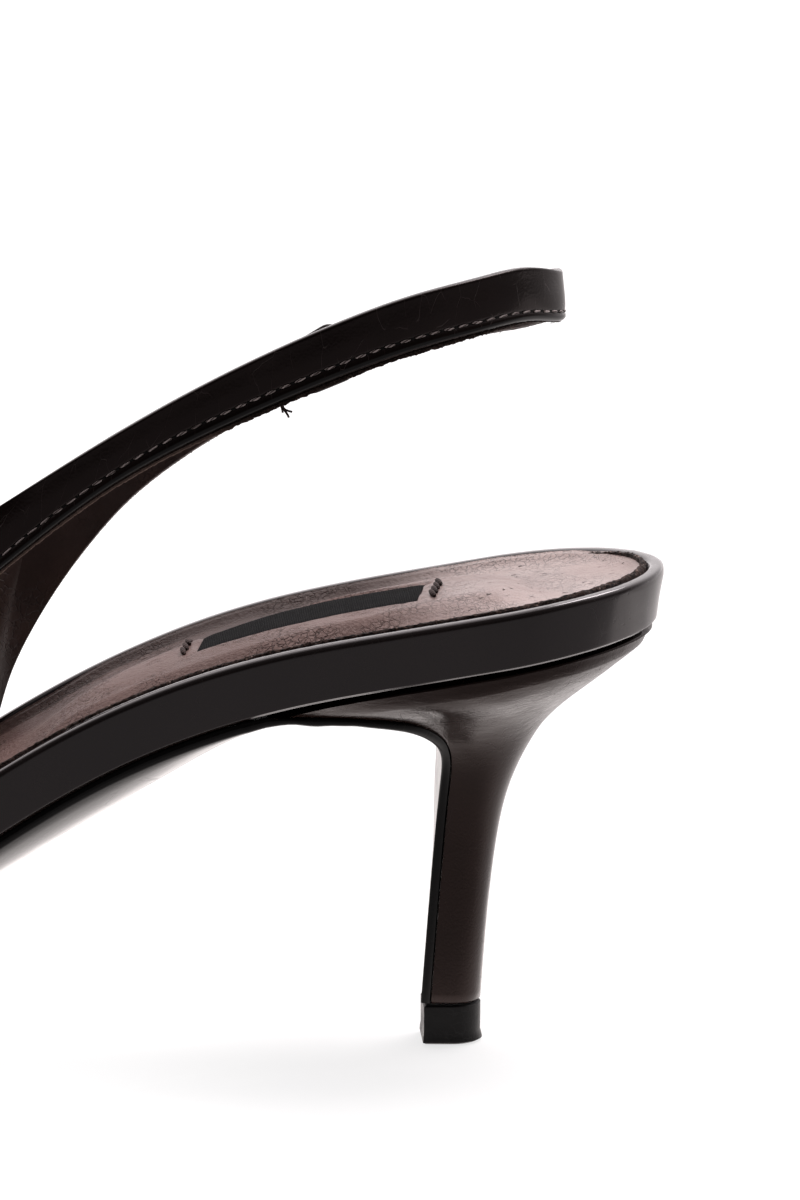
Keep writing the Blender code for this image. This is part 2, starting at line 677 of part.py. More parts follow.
def rounded_rectangle(length, height, corner, steps=4):
    points = []
    for quarter in range(4):
        centre_x = (length / 2 - corner) * (1, -1, -1, 1)[quarter]
        centre_y = (height / 2 - corner) * (1, 1, -1, -1)[quarter]
        for turn in np.linspace(0, math.pi / 2, steps):
            angle = turn + quarter * math.pi / 2
            points.append((centre_x + corner * math.cos(angle), centre_y + corner * math.sin(angle)))
    return points


def make_buckle():
    """Rectangular wire buckle on the outer side, with its prong resting on the rear bar."""
    place, out = sling_place(BUCKLE_STATION, "buckle_place")
    radius = BUCKLE_WIRE / 2
    level = (GAP + radius) * out
    frame = [
        (x, y + BUCKLE_RISE, level)
        for x, y in rounded_rectangle(BUCKLE_LENGTH, BUCKLE_HEIGHT, BUCKLE_CORNER)
    ]
    wire("buckle_frame", frame, True, radius, place)
    over_bar = GAP + BUCKLE_WIRE + GAP + PRONG_WIRE / 2
    prong = [(along, 0, over_bar * rise * out) for along, rise in PRONG_ROWS]
    wire("buckle_prong", prong, False, PRONG_WIRE / 2, place)


def strap_tail_row(station, over):
    """A row across the strap's free end, standing off the sling's outer face."""
    middle, _, up, outward = sling_frame(station)
    half = TAIL_HALF * math.sqrt(np.clip((TAIL_FRONT - station) / TAIL_POINT, 0.02, 1))
    return [middle + up * (half * share) + outward * over for share in TAIL_ACROSS]


def make_strap_tail():
    """Free end of the sling: rises over the buckle's front bar, then lies along the strap."""
    bar = BUCKLE_STATION + BUCKLE_LENGTH / 2
    rise = BUCKLE_WIRE + GAP
    stations = np.concatenate([np.linspace(TAIL_BACK, bar + 8, 9), np.linspace(bar + 10, TAIL_FRONT, 9)])
    inner, outer = [], []
    for station in stations:
        hump = rise * math.exp(-(((station - bar) / TAIL_HUMP) ** 4))
        inner.append(strap_tail_row(station, GAP * 1.5 + hump))
        outer.append(strap_tail_row(station, GAP * 1.5 + hump + TAIL_WALL))
    build = bmesh.new()
    shell(build, outer, inner)
    return part_object("strap_tail", build)


def make_material(name, colour, roughness, metallic):
    material = bpy.data.materials.new(name)
    material.use_nodes = True
    shader = material.node_tree.nodes["Principled BSDF"]
    shader.inputs["Base Color"].default_value = (*colour, 1)
    shader.inputs["Roughness"].default_value = roughness
    shader.inputs["Metallic"].default_value = metallic
    return material


def new_collection(name):
    collection = bpy.data.collections.new(name)
    bpy.context.scene.collection.children.link(collection)
    return collection


for old in list(bpy.data.objects):
    bpy.data.objects.remove(old)
PARTS = new_collection("slingback_shoe")
CUTTERS = new_collection("cutters")
WALL_LINE = loop_of(0.0)
ORIGIN = Vector((*((WALL_LINE.min(axis=0) + WALL_LINE.max(axis=0)) / 2), 0.0))

make_rand()
make_insole()
make_heel()
make_top_piece()
make_outsole()
make_upper()
make_buckle()
make_strap_tail()
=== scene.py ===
import math

import bmesh
import bpy
import numpy as np
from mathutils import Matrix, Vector


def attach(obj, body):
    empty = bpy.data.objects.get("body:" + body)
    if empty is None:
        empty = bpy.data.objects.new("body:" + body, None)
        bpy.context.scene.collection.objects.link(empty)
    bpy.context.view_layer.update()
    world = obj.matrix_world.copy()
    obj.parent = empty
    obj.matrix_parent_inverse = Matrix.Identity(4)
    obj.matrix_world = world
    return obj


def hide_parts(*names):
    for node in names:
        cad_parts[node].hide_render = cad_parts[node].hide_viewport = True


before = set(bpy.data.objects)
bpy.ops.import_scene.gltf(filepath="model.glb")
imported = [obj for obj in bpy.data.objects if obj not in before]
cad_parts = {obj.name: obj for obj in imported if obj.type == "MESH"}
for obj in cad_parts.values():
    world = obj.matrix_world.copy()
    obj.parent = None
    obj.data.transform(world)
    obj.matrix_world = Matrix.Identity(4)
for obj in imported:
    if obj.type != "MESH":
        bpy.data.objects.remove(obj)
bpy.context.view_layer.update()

# one right slingback on a slim covered heel, seen from its inner side
# sizes are millimetres: station forward from the heel, out to the inner side, up from the floor
mm = 0.001
shoe = {
    "length": 246.0, "heelCap": 26.0, "toeCap": 36.0,
    "treadBack": 170.0, "treadFront": 190.0, "toeSpring": 6.6,
    "gap": 0.3, "beadWidth": 2.6, "upperWall": 1.8,
    "origin": (123.0, -0.628, 0.0),
    "middleSteps": 170, "capSteps": 30, "slopeStep": 0.05, "merge": 0.004, "noArea": 1e-9,
}
# station, feather height, centre line, half width, sag of the underside, rand height
lastRows = (
    (0, 73.9, 0.0, 24.8, 0.0, 8.2),
    (14, 72.1, 0.0, 24.9, 0.0, 8.5),
    (28, 69.9, 0.0, 25.0, 0.0, 8.6),
    (44, 67.3, 0.0, 24.7, 0.0, 8.6),
    (60, 64.1, -0.2, 23.5, 1.5, 8.6),
    (76, 59.0, -0.6, 21.8, 5.2, 8.6),
    (92, 51.5, -1.2, 20.6, 6.2, 8.6),
    (108, 41.8, -2.0, 21.2, 5.7, 8.6),
    (124, 31.4, -2.8, 24.8, 4.9, 8.4),
    (140, 21.3, -3.0, 30.4, 3.0, 8.0),
    (155, 13.2, -2.3, 35.2, 0.9, 7.6),
    (170, 9.4, -1.0, 37.4, 0.0, 7.5),
    (190, 9.4, 1.6, 35.2, 0.0, 7.5),
    (208, 9.4, 4.2, 29.6, 0.0, 7.5),
    (228, 9.4, 6.2, 24.4, 0.0, 7.5),
    (246, 9.4, 7.2, 22.6, 0.0, 7.5),
)


def curveThrough(xs, ys, startSlope=None, endSlope=None):
    # cubic curve through the points, straight at an end unless it gets a slope
    xs, ys = np.asarray(xs, float), np.asarray(ys, float)
    count, steps = len(xs), np.diff(xs)
    slopes = np.diff(ys) / steps
    rows, totals = np.zeros((count, count)), np.zeros(count)
    for i in range(1, count - 1):
        rows[i, i - 1:i + 2] = steps[i], 2 * (steps[i - 1] + steps[i]), steps[i - 1]
        totals[i] = 3 * (steps[i] * slopes[i - 1] + steps[i - 1] * slopes[i])
    for end, beside, slope, given in ((0, 1, slopes[0], startSlope), (-1, -2, slopes[-1], endSlope)):
        rows[end, end], rows[end, beside] = (2, 1) if given is None else (1, 0)
        totals[end] = 3 * slope if given is None else given
    tangents = np.linalg.solve(rows, totals)

    def value(x):
        x = np.clip(np.asarray(x, float), xs[0], xs[-1])
        i = np.clip(np.searchsorted(xs, x) - 1, 0, count - 2)
        h = steps[i]
        t = (x - xs[i]) / h
        start = ys[i] + h * t * (1 - t) ** 2 * tangents[i] - h * t ** 2 * (1 - t) * tangents[i + 1]
        return start + (ys[i + 1] - ys[i]) * t ** 2 * (3 - 2 * t)

    return value


def smoothStep(value, start, end):
    run = np.clip((value - start) / (end - start), 0, 1)
    return run * run * (3 - 2 * run)


def between(pair, share):
    return pair[0] + (pair[1] - pair[0]) * share


def bell(away, wide):
    return np.exp(-(away / wide) ** 2)


def edgeFall(away, wide):
    return np.clip(1 - away / wide, 0, 1) ** 2


def unit(rows):
    return rows / np.linalg.norm(rows, axis=1)[:, None]


def resampled(at, index, table):
    return np.column_stack([np.interp(at, index, column) for column in table.T])


lastTable = np.array(lastRows)
backRows = lastTable[lastTable[:, 0] <= shoe["treadBack"]]
backProfile = curveThrough(backRows[:, 0], backRows[:, 1], endSlope=0.0)
centreLine, halfWidth, sagDepth, randHeight = (
    curveThrough(lastTable[:, 0], lastTable[:, k]) for k in (2, 3, 4, 5)
)


def featherUp(station):
    run = np.maximum(station - shoe["treadFront"], 0) / (shoe["length"] - shoe["treadFront"])
    return backProfile(np.minimum(station, shoe["treadBack"])) + shoe["toeSpring"] * run ** 2


def featherSlope(station):
    step = shoe["slopeStep"]
    return (featherUp(station + step) - featherUp(station - step)) / (2 * step)


def endCaps(station):
    heel = np.clip((shoe["heelCap"] - station) / shoe["heelCap"], 0, 1)
    toe = np.clip((station - shoe["length"] + shoe["toeCap"]) / shoe["toeCap"], 0, 1)
    return np.sqrt(1 - heel ** 2) * np.sqrt(1 - toe ** 2)


def stationsHeelToToe():
    turns = np.linspace(0, math.pi / 2, shoe["capSteps"])
    toeStart = shoe["length"] - shoe["toeCap"]
    heel = shoe["heelCap"] * (1 - np.cos(turns))
    middle = np.linspace(shoe["heelCap"], toeStart, shoe["middleSteps"])
    toe = toeStart + shoe["toeCap"] * np.sin(turns)
    return np.concatenate([heel[:-1], middle, toe[1:]])


def outline(inset):
    # inner and outer plan lines of the rand's wall, moved in by inset
    stations = stationsHeelToToe()
    half = halfWidth(stations) * endCaps(stations)
    medial = np.stack([stations, centreLine(stations) + half], 1)
    lateral = np.stack([stations, centreLine(stations) - half], 1)
    loop = np.concatenate([medial, lateral[-2:0:-1]])
    along = unit(np.roll(loop, -1, axis=0) - np.roll(loop, 1, axis=0))
    inward = np.stack([along[:, 1], -along[:, 0]], 1)
    inset = np.broadcast_to(np.asarray(inset, float), len(stations))
    loop += inward * np.concatenate([inset, inset[-2:0:-1]])[:, None]
    count = len(stations)
    return loop[:count], np.concatenate([loop[:1], loop[:count - 2:-1]])


def loopOf(inset):
    medial, lateral = outline(inset)
    return np.concatenate([medial, lateral[-2:0:-1]])


def spineOf(plan):
    across = plan[-np.arange(len(plan)) % len(plan), 0]
    station = np.clip((plan[:, 0] + across) / 2, shoe["heelCap"], shoe["length"] - shoe["toeCap"])
    return np.stack([station, centreLine(station)], 1)


def inwards(loop, share):
    # drawn in towards the spine, and on it at 1
    return loop + (spineOf(loop) - loop) * share


def lifted(plan, over):
    # over is square to the sole, so it counts for more where the sole is steep
    slope = featherSlope(plan[:, 0])
    return np.column_stack([plan, featherUp(plan[:, 0]) + over * np.sqrt(1 + slope ** 2)])


def ripple(count, every, seed):
    # soft random values along a line, one new value each few points
    draws = np.random.RandomState(seed).uniform(-1, 1, int(count / every) + 3)
    return np.interp(np.arange(count) / every, np.arange(len(draws)), draws)


def fieldNoise(points, size, seed, waves=14, stretch=(0.6, 1.5), calm=5):
    # soft random field over points, from waves in many directions
    random = np.random.RandomState(seed)
    total = np.zeros(len(points))
    for _ in range(waves):
        way = random.normal(size=3)
        way /= np.linalg.norm(way)
        shift = points @ way * (2 * math.pi / size) * random.uniform(*stretch)
        total += np.sin(shift + random.uniform(0, 6.28))
    return total / calm


def uneven(points, depth, size, seed):
    return depth * fieldNoise(points, size, seed)


def troughs(points, rows):
    # soft creases, given one by one: start and end in station and up, then width and depth
    depth = np.zeros(len(points))
    flat = points[:, [0, 2]]
    for s0, u0, s1, u1, width, deep in rows:
        start, run = np.array((s0, u0)), np.array((s1 - s0, u1 - u0))
        t = np.clip(((flat - start) @ run) / (run @ run), 0, 1)
        away = np.linalg.norm(flat - start - t[:, None] * run, axis=1)
        shallow = np.sin(math.pi * np.clip(t * 0.9 + 0.05, 0, 1))  # towards both ends
        depth -= deep * bell(away, width) * shallow
    return depth


def loft(build, rings, closed=True, capped=False):
    rows = [[build.verts.new(Vector(p)) for p in ring] for ring in rings]
    for row, following in zip(rows[:-1], rows[1:]):
        for i in range(len(row) - (not closed)):
            j = (i + 1) % len(row)
            build.faces.new((row[i], row[j], following[j], following[i]))
    if capped:
        build.faces.new(rows[0][::-1])
        build.faces.new(rows[-1])
    return rows


def placePoints(points):
    return (np.asarray(points) - shoe["origin"]) * mm


def newObject(name, data):
    made = bpy.data.objects.new(name, data)
    bpy.context.scene.collection.objects.link(made)
    return made


def plainMesh(name, guide):
    # what the guide shows, as a mesh of its own, and the guide is removed
    evaluated = guide.evaluated_get(bpy.context.evaluated_depsgraph_get())
    mesh = bpy.data.meshes.new_from_object(evaluated)
    mesh.name = name
    guide.modifiers.clear()
    bpy.data.objects.remove(guide)
    return mesh


def meshPiece(name, build, finishes, sharpAngle=60, shape=None):
    # closed mesh in millimetres of the last to a piece in metres of the frame
    bmesh.ops.remove_doubles(build, verts=build.verts, dist=shoe["merge"])
    flat = [f for f in build.faces if f.calc_area() < shoe["noArea"]]
    bmesh.ops.delete(build, geom=flat, context="FACES_ONLY")
    bmesh.ops.recalc_face_normals(build, faces=build.faces)
    if build.calc_volume(signed=True) < 0:
        bmesh.ops.reverse_faces(build, faces=build.faces)
    build.normal_update()
    if shape:
        push = shape(np.array([v.co for v in build.verts]))
        for vert, amount in zip(build.verts, push):
            vert.co += vert.normal * amount
    mesh = bpy.data.meshes.new(name)
    build.to_mesh(mesh)
    build.free()
    points = np.empty(len(mesh.vertices) * 3)
    mesh.vertices.foreach_get("co", points)
    mesh.vertices.foreach_set("co", placePoints(points.reshape(-1, 3)).ravel())
    mesh.shade_smooth()
    mesh.set_sharp_from_angle(angle=math.radians(sharpAngle))
    for finish in finishes:
        mesh.materials.append(finish)
    mesh.update()
    return newObject(name, mesh)


def loftPiece(name, rings, finish, capped=False, **more):
    build = bmesh.new()
    loft(build, rings, capped=capped)
    return meshPiece(name, build, [finish], **more)


def settle(piece, slot, *nodes):
    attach(piece, "root")
    if nodes:
        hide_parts(*nodes)
    return piece


# shader helpers
def feed(tree, node, inputs):
    for key, value in inputs.items():
        socket = node.inputs[key]
        if isinstance(value, bpy.types.NodeSocket):
            tree.links.new(value, socket)
        else:
            socket.default_value = value
    return node


def put(tree, kind, inputs=None, **settings):
    node = tree.nodes.new(kind)
    for key, value in settings.items():
        setattr(node, key, value)
    return feed(tree, node, inputs or {})


def sums(tree, operation, first, second, clamp=False):
    inputs = {0: first, 1: second}
    return put(tree, "ShaderNodeMath", inputs, operation=operation, use_clamp=clamp).outputs[0]


def times(tree, first, second):
    return sums(tree, "MULTIPLY", first, second)


def vectors(tree, operation, inputs):
    return put(tree, "ShaderNodeVectorMath", inputs, operation=operation).outputs[0]


def axisOf(tree, vector, axis):
    return put(tree, "ShaderNodeSeparateXYZ", {0: vector}).outputs[axis]


def mixTones(tree, factor, first, second):
    first, second = ((*tone, 1) if isinstance(tone, tuple) else tone for tone in (first, second))
    return put(tree, "ShaderNodeMix", {0: factor, 6: first, 7: second}, data_type="RGBA").outputs[2]


def spread(tree, value, low, high, toLow, toHigh):
    inputs = {0: value, 1: low, 2: high, 3: toLow, 4: toHigh}
    return put(tree, "ShaderNodeMapRange", inputs, interpolation_type="SMOOTHSTEP").outputs[0]


def noise(tree, place, size, detail, rough=0.5, warp=0.0):
    inputs = {"Vector": place, "Scale": size, "Detail": detail, "Roughness": rough, "Distortion": warp}
    return put(tree, "ShaderNodeTexNoise", inputs).outputs


def cells(tree, place, size, feature="F1"):
    return put(tree, "ShaderNodeTexVoronoi", {"Vector": place, "Scale": size}, feature=feature).outputs


def shaken(tree, place, size, detail, reach=1.6):
    # the place moved about, so that cells get uneven edges
    shake = noise(tree, place, size, detail)["Color"]
    return vectors(tree, "MULTIPLY_ADD", {0: shake, 1: (reach * mm,) * 3, 2: place})


def newTree(kind, name, ins, outs):
    # an input is given by its usual number, or by its kind where it has none
    tree = bpy.data.node_groups.new(name, kind)
    for key, value in ins.items():
        number = {float: "Float", int: "Int"}.get(type(value))
        socketKind = "NodeSocket" + (number or value)
        socket = tree.interface.new_socket(key, in_out="INPUT", socket_type=socketKind)
        if number:
            socket.default_value = value
    for key, value in outs.items():
        tree.interface.new_socket(key, in_out="OUTPUT", socket_type="NodeSocket" + value)
    return tree, tree.nodes.new("NodeGroupInput").outputs, tree.nodes.new("NodeGroupOutput")


hide = {  # what all hides share; a noise has detail, roughness and distortion
    "poreHeight": 0.45, "wrinkleHeight": 0.75, "wrinkleNoise": (5.0, 0.62, 0.9), "toneRun": (0.3, 0.7),
    "patchRun": (0.42, 0.6), "lineRough": 0.15, "lineLeast": 0.4,
    "smudgeNoise": (6.0, 0.65, 0.6), "smudgeRun": (0.3, 0.7),
    "pitShake": 1.6, "pitRun": (0.08, 0.2), "pitSome": (0.25, 0.45), "pitTone": 0.6,
    # paler heel: wear with painted sheen
    "wearSheenRun": (0.3, 0.6), "wearSheenLeast": 0.55, "wearSheenTone": 0.6,
    "wipeNoise": (4.0, 0.6, 0.8), "wipeMiddle": 0.45, "wipeLeast": 0.1,
}


def makeGrainGroup():
    # pores, short wrinkles and slow tone changes of finished hide
    ins = {"Place": "Vector", "Pores": 2600.0, "Wrinkles": 900.0, "Clouds": 60.0}
    group, given, out = newTree("ShaderNodeTree", "hideGrain", ins, {"Height": "Float", "Tone": "Float"})
    pores = cells(group, given["Place"], given["Pores"])["Distance"]
    wrinkles = noise(group, given["Place"], given["Wrinkles"], *hide["wrinkleNoise"])[0]
    height = sums(group, "ADD", times(group, pores, hide["poreHeight"]),
                  times(group, wrinkles, hide["wrinkleHeight"]))
    clouds = noise(group, given["Place"], given["Clouds"], 4.0)[0]
    feed(group, out, {"Height": height, "Tone": clouds})
    return group


def makeCreaseGroup():
    # net of fine creases, thin lines between irregular islands
    ins = {"Place": "Vector", "Islands": 300.0, "Line": 0.06, "Patches": 70.0}
    group, given, out = newTree("ShaderNodeTree", "creaseNet", ins, {"Lines": "Float"})
    place = shaken(group, given["Place"], given["Islands"], 2.0)
    net = cells(group, place, given["Islands"], "DISTANCE_TO_EDGE")["Distance"]
    patch = noise(group, given["Place"], given["Patches"], 3.0)[0]
    line = spread(group, net, 0.0, given["Line"], 1.0, 0.0)
    feed(group, out, {"Lines": times(group, line, spread(group, patch, *hide["patchRun"], 0.0, 1.0))})
    return group


def makeSmudgeGroup():
    # handling marks: slow cloudy change of gloss with finer streaks in it
    ins = {"Place": "Vector", "Size": 90.0, "Low": 0.2, "High": 0.4}
    group, given, out = newTree("ShaderNodeTree", "smudges", ins, {"Gloss": "Float"})
    clouds = noise(group, given["Place"], given["Size"], *hide["smudgeNoise"])[0]
    low, high = hide["smudgeRun"]
    inputs = {0: clouds, 1: low, 2: high, 3: given["Low"], 4: given["High"]}
    feed(group, out, {"Gloss": put(group, "ShaderNodeMapRange", inputs).outputs[0]})
    return group


grainGroup, creaseGroup, smudgeGroup = makeGrainGroup(), makeCreaseGroup(), makeSmudgeGroup()


def useGroup(tree, group, **inputs):
    return put(tree, "ShaderNodeGroup", inputs, node_tree=group).outputs


def smudged(tree, place, size, gloss):
    return useGroup(tree, smudgeGroup, Place=place, Size=size, Low=gloss[0], High=gloss[1])["Gloss"]


def bumped(tree, height, depth):
    inputs = {"Height": height, "Distance": depth * mm, "Strength": 1.0}
    return put(tree, "ShaderNodeBump", inputs).outputs[0]


def startFinish(name, look):
    # Principled shader with the plain values of a finish set on its own sockets
    material = bpy.data.materials.new(name)
    material.use_nodes = True
    tree = material.node_tree
    shader = feed(tree, tree.nodes["Principled BSDF"], {
        "Roughness": look.get("roughness", 0.5), "Metallic": look.get("metallic", 0.0),
        "Specular IOR Level": look.get("specular", 0.5),
        "Specular Tint": (*look.get("tint", (1.0, 1.0, 1.0)), 1.0),
        "Coat Weight": look.get("coat", 0.0), "Coat Roughness": look.get("coatRoughness", 0.1)})
    place = tree.nodes.new("ShaderNodeTexCoord").outputs["Object"]
    return material, tree, shader, place


def hideFinish(name, look):
    # finished hide: two tones, crease net, smudged gloss and grain
    material, tree, shader, place = startFinish(name, look)
    net = place
    if "alongPiece" in look:
        strap = put(tree, "ShaderNodeAttribute", attribute_name="strapSpace").outputs["Vector"]
        net = put(tree, "ShaderNodeMapping", {"Vector": strap, "Scale": look["alongPiece"]}).outputs[0]
    grain = useGroup(tree, grainGroup, Place=place, Pores=look["pores"], Wrinkles=look["wrinkles"],
                     Clouds=look["clouds"])
    lines = useGroup(tree, creaseGroup, Place=net, Islands=look["islands"], Line=look["line"],
                     Patches=look["patches"])["Lines"]
    clouds = spread(tree, grain["Tone"], *hide["toneRun"], 0.0, 1.0)
    tone = mixTones(tree, clouds, look["dark"], look["light"])
    shown = times(tree, lines, look["lineTone"])
    if "lineFade" in look:  # hairlines are plainest on the strap
        onStrap = spread(tree, axisOf(tree, place, "X"), *look["lineFade"], 1.0, hide["lineLeast"])
        shown = times(tree, shown, onStrap)
    tone = mixTones(tree, shown, tone, look["lineColour"])
    gloss = smudged(tree, place, look["smudge"], look["gloss"])
    rough = sums(tree, "ADD", gloss, times(tree, lines, hide["lineRough"]), clamp=True)
    raised = sums(tree, "SUBTRACT", grain["Height"], times(tree, lines, look["lineDepth"]))
    if "paintedShade" in look:  # painted shade: darker where the piece turns up at its edge and in the hollow beside it
        rimShade = put(tree, "ShaderNodeAttribute", attribute_name="rimShade").outputs["Fac"]
        tone = mixTones(tree, rimShade, tone, look["paintedShade"])
    dents = 0.0
    if "pits" in look:  # small knocks at the back of the heel
        pits = look["pits"]
        moved = shaken(tree, place, pits["size"] * hide["pitShake"], 3.0)
        drawn = put(tree, "ShaderNodeMapping", {"Vector": moved, "Scale": pits["stretch"]}).outputs[0]
        spots = cells(tree, drawn, pits["size"])
        some = spread(tree, axisOf(tree, spots["Color"], "X"), *hide["pitSome"], 0.0, 1.0)
        knocks = times(tree, spread(tree, spots["Distance"], *hide["pitRun"], 1.0, 0.0), some)
        back = spread(tree, axisOf(tree, place, "X"), pits["to"], pits["from"], 1.0, 0.0)
        dents = times(tree, knocks, back)
        tone = mixTones(tree, times(tree, dents, hide["pitTone"]), tone, pits["tone"])
        raised = sums(tree, "SUBTRACT", raised, times(tree, dents, pits["depth"]))
    if "wearAndSheen" in look:  # paler at the heel, partly wear and partly painted sheen, and shinier where worn smooth
        wearAndSheen = look["wearAndSheen"]
        back = spread(tree, axisOf(tree, place, "X"), wearAndSheen["to"], wearAndSheen["from"], 1.0, 0.0)
        clouded = spread(tree, grain["Tone"], *hide["wearSheenRun"], hide["wearSheenLeast"], 1.0)
        worn = times(tree, back, sums(tree, "SUBTRACT", clouded, dents, clamp=True))
        tone = mixTones(tree, times(tree, worn, hide["wearSheenTone"]), tone, wearAndSheen["tone"])
        feed(tree, shader, {"Coat Weight": times(tree, worn, wearAndSheen["weight"])})
    if "streaks" in look:  # slanted wipes and wrinkles over the flare
        streaks = look["streaks"]
        slanted = put(tree, "ShaderNodeMapping", {
            "Vector": place, "Rotation": (0.0, streaks["turn"], 0.0), "Scale": streaks["stretch"]}).outputs[0]
        wipes = noise(tree, slanted, 1.0, *hide["wipeNoise"])[0]
        high = spread(tree, axisOf(tree, place, "Z"), streaks["from"], streaks["to"], hide["wipeLeast"], 1.0)
        wiped = times(tree, sums(tree, "SUBTRACT", wipes, hide["wipeMiddle"]), high)
        rough = sums(tree, "ADD", rough, times(tree, wiped, streaks["gloss"]), clamp=True)
        raised = sums(tree, "ADD", raised, times(tree, wiped, streaks["depth"]))
    normal = bumped(tree, raised, look["depth"])
    feed(tree, shader, {"Base Color": tone, "Roughness": rough, "Normal": normal})
    return material


polishedLook = {
    "dark": (0.003, 0.0016, 0.0013), "light": (0.0062, 0.0035, 0.003), "lineColour": (0.075, 0.06, 0.058),
    "pores": 2400.0, "wrinkles": 380.0, "clouds": 55.0, "islands": 260.0, "line": 0.009, "patches": 420.0,
    "alongPiece": (0.001, 0.00035, 0.001), "lineTone": 0.48, "lineFade": (-0.015, 0.02), "lineDepth": 0.7,
    "smudge": 140.0, "gloss": (0.1, 0.22), "depth": 0.02, "specular": 0.2, "tint": (1.0, 0.84, 0.83),
}
randLook = {
    "dark": (0.0068, 0.0044, 0.004), "light": (0.0105, 0.007, 0.0064), "lineColour": (0.014, 0.01, 0.009),
    "pores": 1500.0, "wrinkles": 160.0, "clouds": 40.0, "islands": 210.0, "line": 0.03, "patches": 60.0,
    "lineTone": 0.1, "lineDepth": 0.1, "smudge": 80.0, "gloss": (0.1, 0.16), "depth": 0.009, "specular": 0.4,
    "coat": 0.3, "coatRoughness": 0.05, "tint": (1.0, 0.95, 0.97),
    "pits": {
        "from": -0.106, "to": -0.119, "size": 900.0, "stretch": (1.0, 1.0, 1.0), "depth": 4.0,
        "tone": (0.018, 0.012, 0.011)},
}
heelLook = {
    "dark": (0.0085, 0.0045, 0.0036), "light": (0.0135, 0.0075, 0.0062), "lineColour": (0.03, 0.022, 0.02),
    "pores": 2600.0, "wrinkles": 420.0, "clouds": 70.0, "islands": 260.0, "line": 0.03, "patches": 80.0,
    "lineTone": 0.0, "lineDepth": 0.05, "smudge": 120.0, "gloss": (0.15, 0.27), "depth": 0.03,
    "specular": 0.2, "tint": (1.0, 0.84, 0.81),
    "streaks": {
        "from": 0.042, "to": 0.052, "turn": 0.75, "stretch": (240.0, 700.0, 1300.0), "gloss": 0.2,
        "depth": 2.2},
}
liningLook = {
    "dark": (0.029, 0.0145, 0.0115), "light": (0.056, 0.031, 0.025), "lineColour": (0.014, 0.007, 0.0055),
    "pores": 1700.0, "wrinkles": 520.0, "clouds": 90.0, "islands": 620.0, "line": 0.07, "patches": 120.0,
    "lineTone": 0.4, "lineDepth": 0.8, "smudge": 150.0, "gloss": (0.4, 0.6), "depth": 0.07, "specular": 0.3,
}
insoleLook = {
    "dark": (0.09, 0.053, 0.046), "light": (0.145, 0.094, 0.084), "lineColour": (0.025, 0.014, 0.012),
    "pores": 1500.0, "wrinkles": 1200.0, "clouds": 45.0, "islands": 900.0, "line": 0.09, "patches": 90.0,
    "lineTone": 0.55, "lineDepth": 1.2, "smudge": 70.0, "gloss": (0.4, 0.56), "depth": 0.22, "specular": 0.16,
    # painted shade tone for the turned-up rim and the far hollow
    "paintedShade": (0.028, 0.0155, 0.0128), "coatRoughness": 0.3, "tint": (1.0, 0.8, 0.76),
    # paler heel tone: wear with painted sheen
    "wearAndSheen": {"from": -0.076, "to": -0.1, "weight": 0.75, "tone": (0.36, 0.26, 0.235)},
    "pits": {
        "from": -0.08, "to": -0.1, "size": 620.0, "stretch": (0.5, 1.2, 1.0), "depth": 1.5,
        "tone": (0.012, 0.0065, 0.005)},
}
soleLook = {
    "dark": (0.002, 0.002, 0.002), "light": (0.004, 0.0038, 0.0038), "lineColour": (0.01, 0.01, 0.01),
    "pores": 1800.0, "wrinkles": 240.0, "clouds": 50.0, "islands": 160.0, "line": 0.03, "patches": 50.0,
    "lineTone": 0.2, "lineDepth": 0.3, "smudge": 60.0, "gloss": (0.1, 0.2), "depth": 0.02, "specular": 0.14,
}
rubberLook = {
    "dark": (0.0032, 0.0032, 0.0034), "light": (0.0052, 0.0052, 0.0054), "lineColour": (0.02, 0.02, 0.02),
    "pores": 4200.0, "wrinkles": 1600.0, "clouds": 160.0, "islands": 700.0, "line": 0.05, "patches": 200.0,
    "lineTone": 0.4, "lineDepth": 0.4, "smudge": 260.0, "gloss": (0.36, 0.55), "depth": 0.03, "specular": 0.1,
}
polishedHide = hideFinish("polishedHide", polishedLook)
randHide = hideFinish("randHide", randLook)
heelHide = hideFinish("heelHide", heelLook)
liningHide = hideFinish("liningHide", liningLook)
insoleHide = hideFinish("insoleHide", insoleLook)
soleHide = hideFinish("soleHide", soleLook)
tipRubber = hideFinish("tipRubber", rubberLook)


thread = {  # what all threads share
    "turn": (0.5, 0.6, 0.8), "wobble": 2.5, "detail": 2.0, "clouds": 500.0, "toneRun": (0.1, 0.5),
    "depth": 0.06, "specular": 0.15,
}


def threadFinish(name, dark, light, roughness, twist):
    # spun thread: fine slanted strands in two tones
    material, tree, shader, place = startFinish(name, {**thread, "roughness": roughness})
    turned = put(tree, "ShaderNodeMapping", {"Vector": place, "Rotation": thread["turn"]}).outputs[0]
    inputs = {"Vector": turned, "Scale": twist, "Distortion": thread["wobble"], "Detail": thread["detail"]}
    strands = put(tree, "ShaderNodeTexWave", inputs).outputs["Fac"]
    mixed = times(tree, strands, noise(tree, place, thread["clouds"], 3.0)[0])
    tone = mixTones(tree, spread(tree, mixed, *thread["toneRun"], 0.0, 1.0), dark, light)
    feed(tree, shader, {"Base Color": tone, "Normal": bumped(tree, strands, thread["depth"])})
    return material


seamThread = threadFinish(
    "seamThread", dark=(0.07, 0.055, 0.052), light=(0.44, 0.38, 0.37), roughness=0.3, twist=900.0)
tackThread = threadFinish(
    "tackThread", dark=(0.01, 0.005, 0.0043), light=(0.055, 0.03, 0.026), roughness=0.7, twist=700.0)
rawFibre = threadFinish(
    "rawFibre", dark=(0.008, 0.004, 0.003), light=(0.05, 0.03, 0.023), roughness=0.7, twist=600.0)
edgeShare = {  # what all edges share
    "fibreNoise": (5.0, 0.7, 1.2), "fibreRun": (0.42, 0.68), "fleckRun": (0.12, 0.22), "smudge": 300.0,
}


